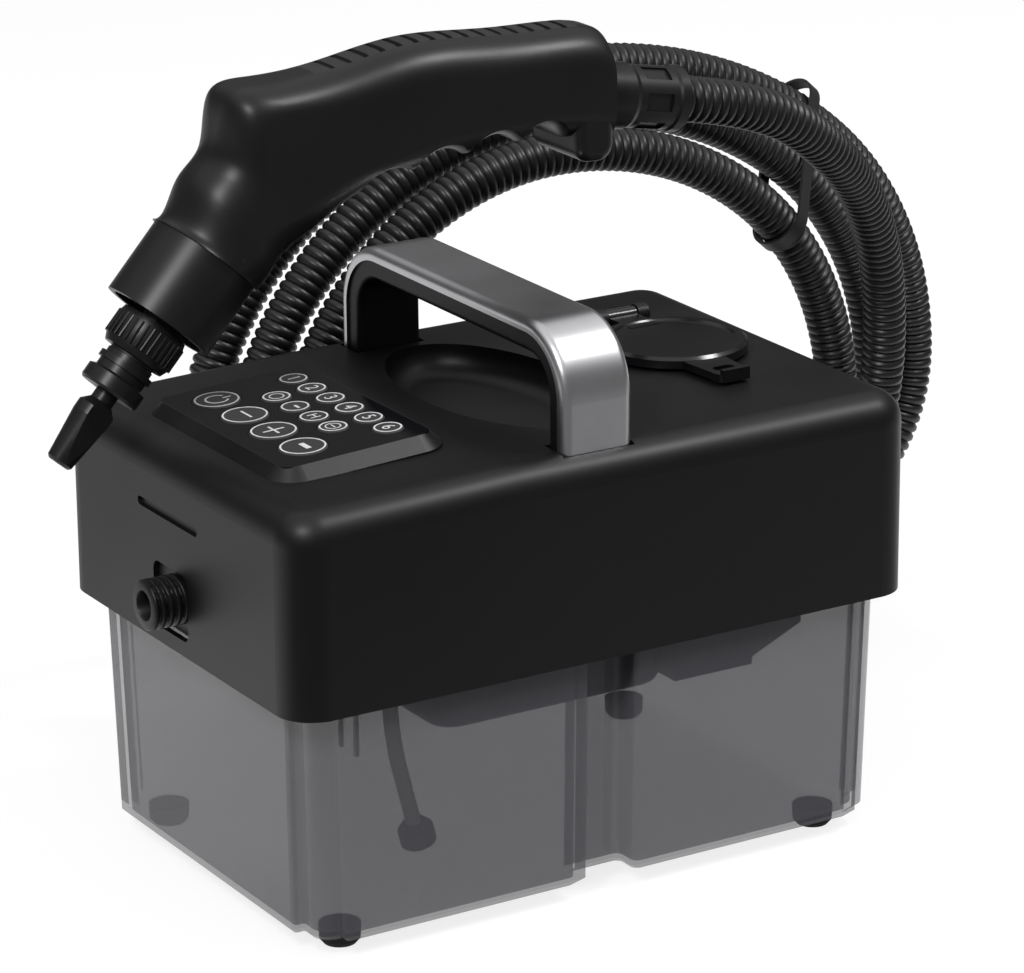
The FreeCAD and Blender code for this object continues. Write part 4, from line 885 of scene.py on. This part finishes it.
def set_camera(scene):
    """Camera fitted to the photo; returns the level direction in which it looks."""
    yaw, pitch, roll = (math.radians(angle) for angle in (CAMERA_YAW, CAMERA_PITCH, CAMERA_ROLL))
    away = Vector((math.sin(yaw), math.cos(yaw), 0))
    ahead = away * math.cos(pitch) - Vector((0, 0, math.sin(pitch)))
    level = Vector((math.cos(yaw), -math.sin(yaw), 0))
    above = level.cross(ahead)
    right = level * math.cos(roll) + above * math.sin(roll)
    up = above * math.cos(roll) - level * math.sin(roll)
    lens = bpy.data.cameras.new("camera")
    lens.sensor_width = SENSOR_WIDTH
    lens.lens = CAMERA_FOCUS / CAMERA_WIDTH * SENSOR_WIDTH
    lens.clip_end = 100
    camera = bpy.data.objects.new("camera", lens)
    scene.collection.objects.link(camera)
    turn = Matrix((right, up, -ahead)).transposed().to_4x4()
    camera.matrix_world = Matrix.Translation(CAMERA_PLACE * MM) @ turn
    scene.camera = camera
    return away


def set_world(scene, sizes, away):
    """White backdrop, darker and uneven in reflections, and a plain even light."""
    world = bpy.data.worlds.new("world")
    scene.world = world
    world.use_nodes = True
    tree = world.node_tree
    back = tree.nodes["Background"]
    back.inputs["Color"].default_value = (1, 1, 1, 1)
    level_light = mixed(tree, mask_along(tree, away, -0.6, 0.8), sizes.dark_side, sizes.far_side)
    reflected = mixed(tree, mask_along(tree, (0, 0, 1), 0.4, 0.8), level_light, sizes.overhead)
    tree.links.new(seen_light(tree, 1.0, reflected, sizes.world_light), back.inputs["Strength"])


def floor_finish(sizes, away):
    """Pale floor that keeps shadows, dark in reflections on the camera's side."""
    material, shader = principled("floor", Roughness=0.9, Specular_IOR_Level=0.0)
    tree = material.node_tree
    near = mask_along(tree, away, *FLOOR_NEAR)
    tree.links.new(mixed(tree, near, 0.03, 0.30), shader.inputs["Base Color"])
    bare = mixed(tree, near, sizes.floor_white + 0.18, sizes.floor_white)
    beside = mask_along(tree, (0, 1, 0), *FLOOR_BESIDE)
    beyond = mixed(tree, mask_along(tree, (0, 1, 0), *FLOOR_BEYOND), 1.0, 0.5)
    shine = math_node(tree, "MULTIPLY", beside, beyond)
    reflected = mixed(tree, shine, sizes.dark_side, sizes.floor_shine)
    tree.links.new(seen_light(tree, bare, reflected, 0.0), shader.inputs["Emission Strength"])
    shader.inputs["Emission Color"].default_value = (1, 1, 1, 1)
    return material


class STEAM_OT_stage(Operator):
    """Makes the camera, the pale floor, the world and the lamps"""
    bl_idname = "steam.stage"
    bl_label = "Stage"

    def execute(self, context):
        sizes, scene = context.scene.stage_sizes, context.scene
        away = set_camera(scene)
        set_world(scene, sizes, away)
        mesh = bpy.data.meshes.new("floor")
        corners = [(x, y, 0) for x, y in rectangle(0, 0, 2 * FLOOR_REACH, 2 * FLOOR_REACH)]
        mesh.from_pydata(corners, [], [(0, 1, 2, 3)])
        mesh.materials.append(floor_finish(sizes, away))
        floor = bpy.data.objects.new("floor", mesh)
        scene.collection.objects.link(floor)
        soft_lamp("lamp_left", (-0.61, -0.43, 0.67), 0.42, sizes.lamp * 1.2)
        soft_lamp("lamp_above", (0.49, -0.32, 0.81), 0.4, sizes.lamp)
        scene.view_settings.view_transform = "Standard"
        return {"FINISHED"}


class STEAM_PT_parts(Panel):
    """Lists the operators and the sizes"""
    bl_label = "Steam cleaner"
    bl_idname = "STEAM_PT_parts"
    bl_space_type = "VIEW_3D"
    bl_region_type = "UI"
    bl_category = "Steam cleaner"

    def draw(self, context):
        for name in STEPS:
            self.layout.operator("steam." + name)
        for group in SETTINGS:
            box = self.layout.box()
            values = getattr(context.scene, group)
            for prop in values.bl_rna.properties:
                if not prop.is_readonly and prop.identifier != "name":
                    box.prop(values, prop.identifier)


STEPS = ["stage", "hose", "case", "works", "keypad", "outlet", "gun"]
SETTINGS = {"hose_sizes": HoseSizes, "case_sizes": CaseSizes, "keypad_sizes": KeypadSizes,
            "outlet_sizes": OutletSizes, "gun_sizes": GunSizes, "stage_sizes": StageSizes}
CLASSES = [*SETTINGS.values(), STEAM_OT_stage, STEAM_OT_hose, STEAM_OT_case, STEAM_OT_works, STEAM_OT_keypad,
           STEAM_OT_outlet, STEAM_OT_gun, STEAM_PT_parts]


def register():
    for cls in CLASSES:
        bpy.utils.register_class(cls)
    for name, cls in SETTINGS.items():
        setattr(bpy.types.Scene, name, PointerProperty(type=cls))


def unregister():
    for name in SETTINGS:
        delattr(bpy.types.Scene, name)
    for cls in reversed(CLASSES):
        bpy.utils.unregister_class(cls)


def main():
    register()
    for step in STEPS:
        getattr(bpy.ops.steam, step)()


if __name__ == "__main__":
    main()
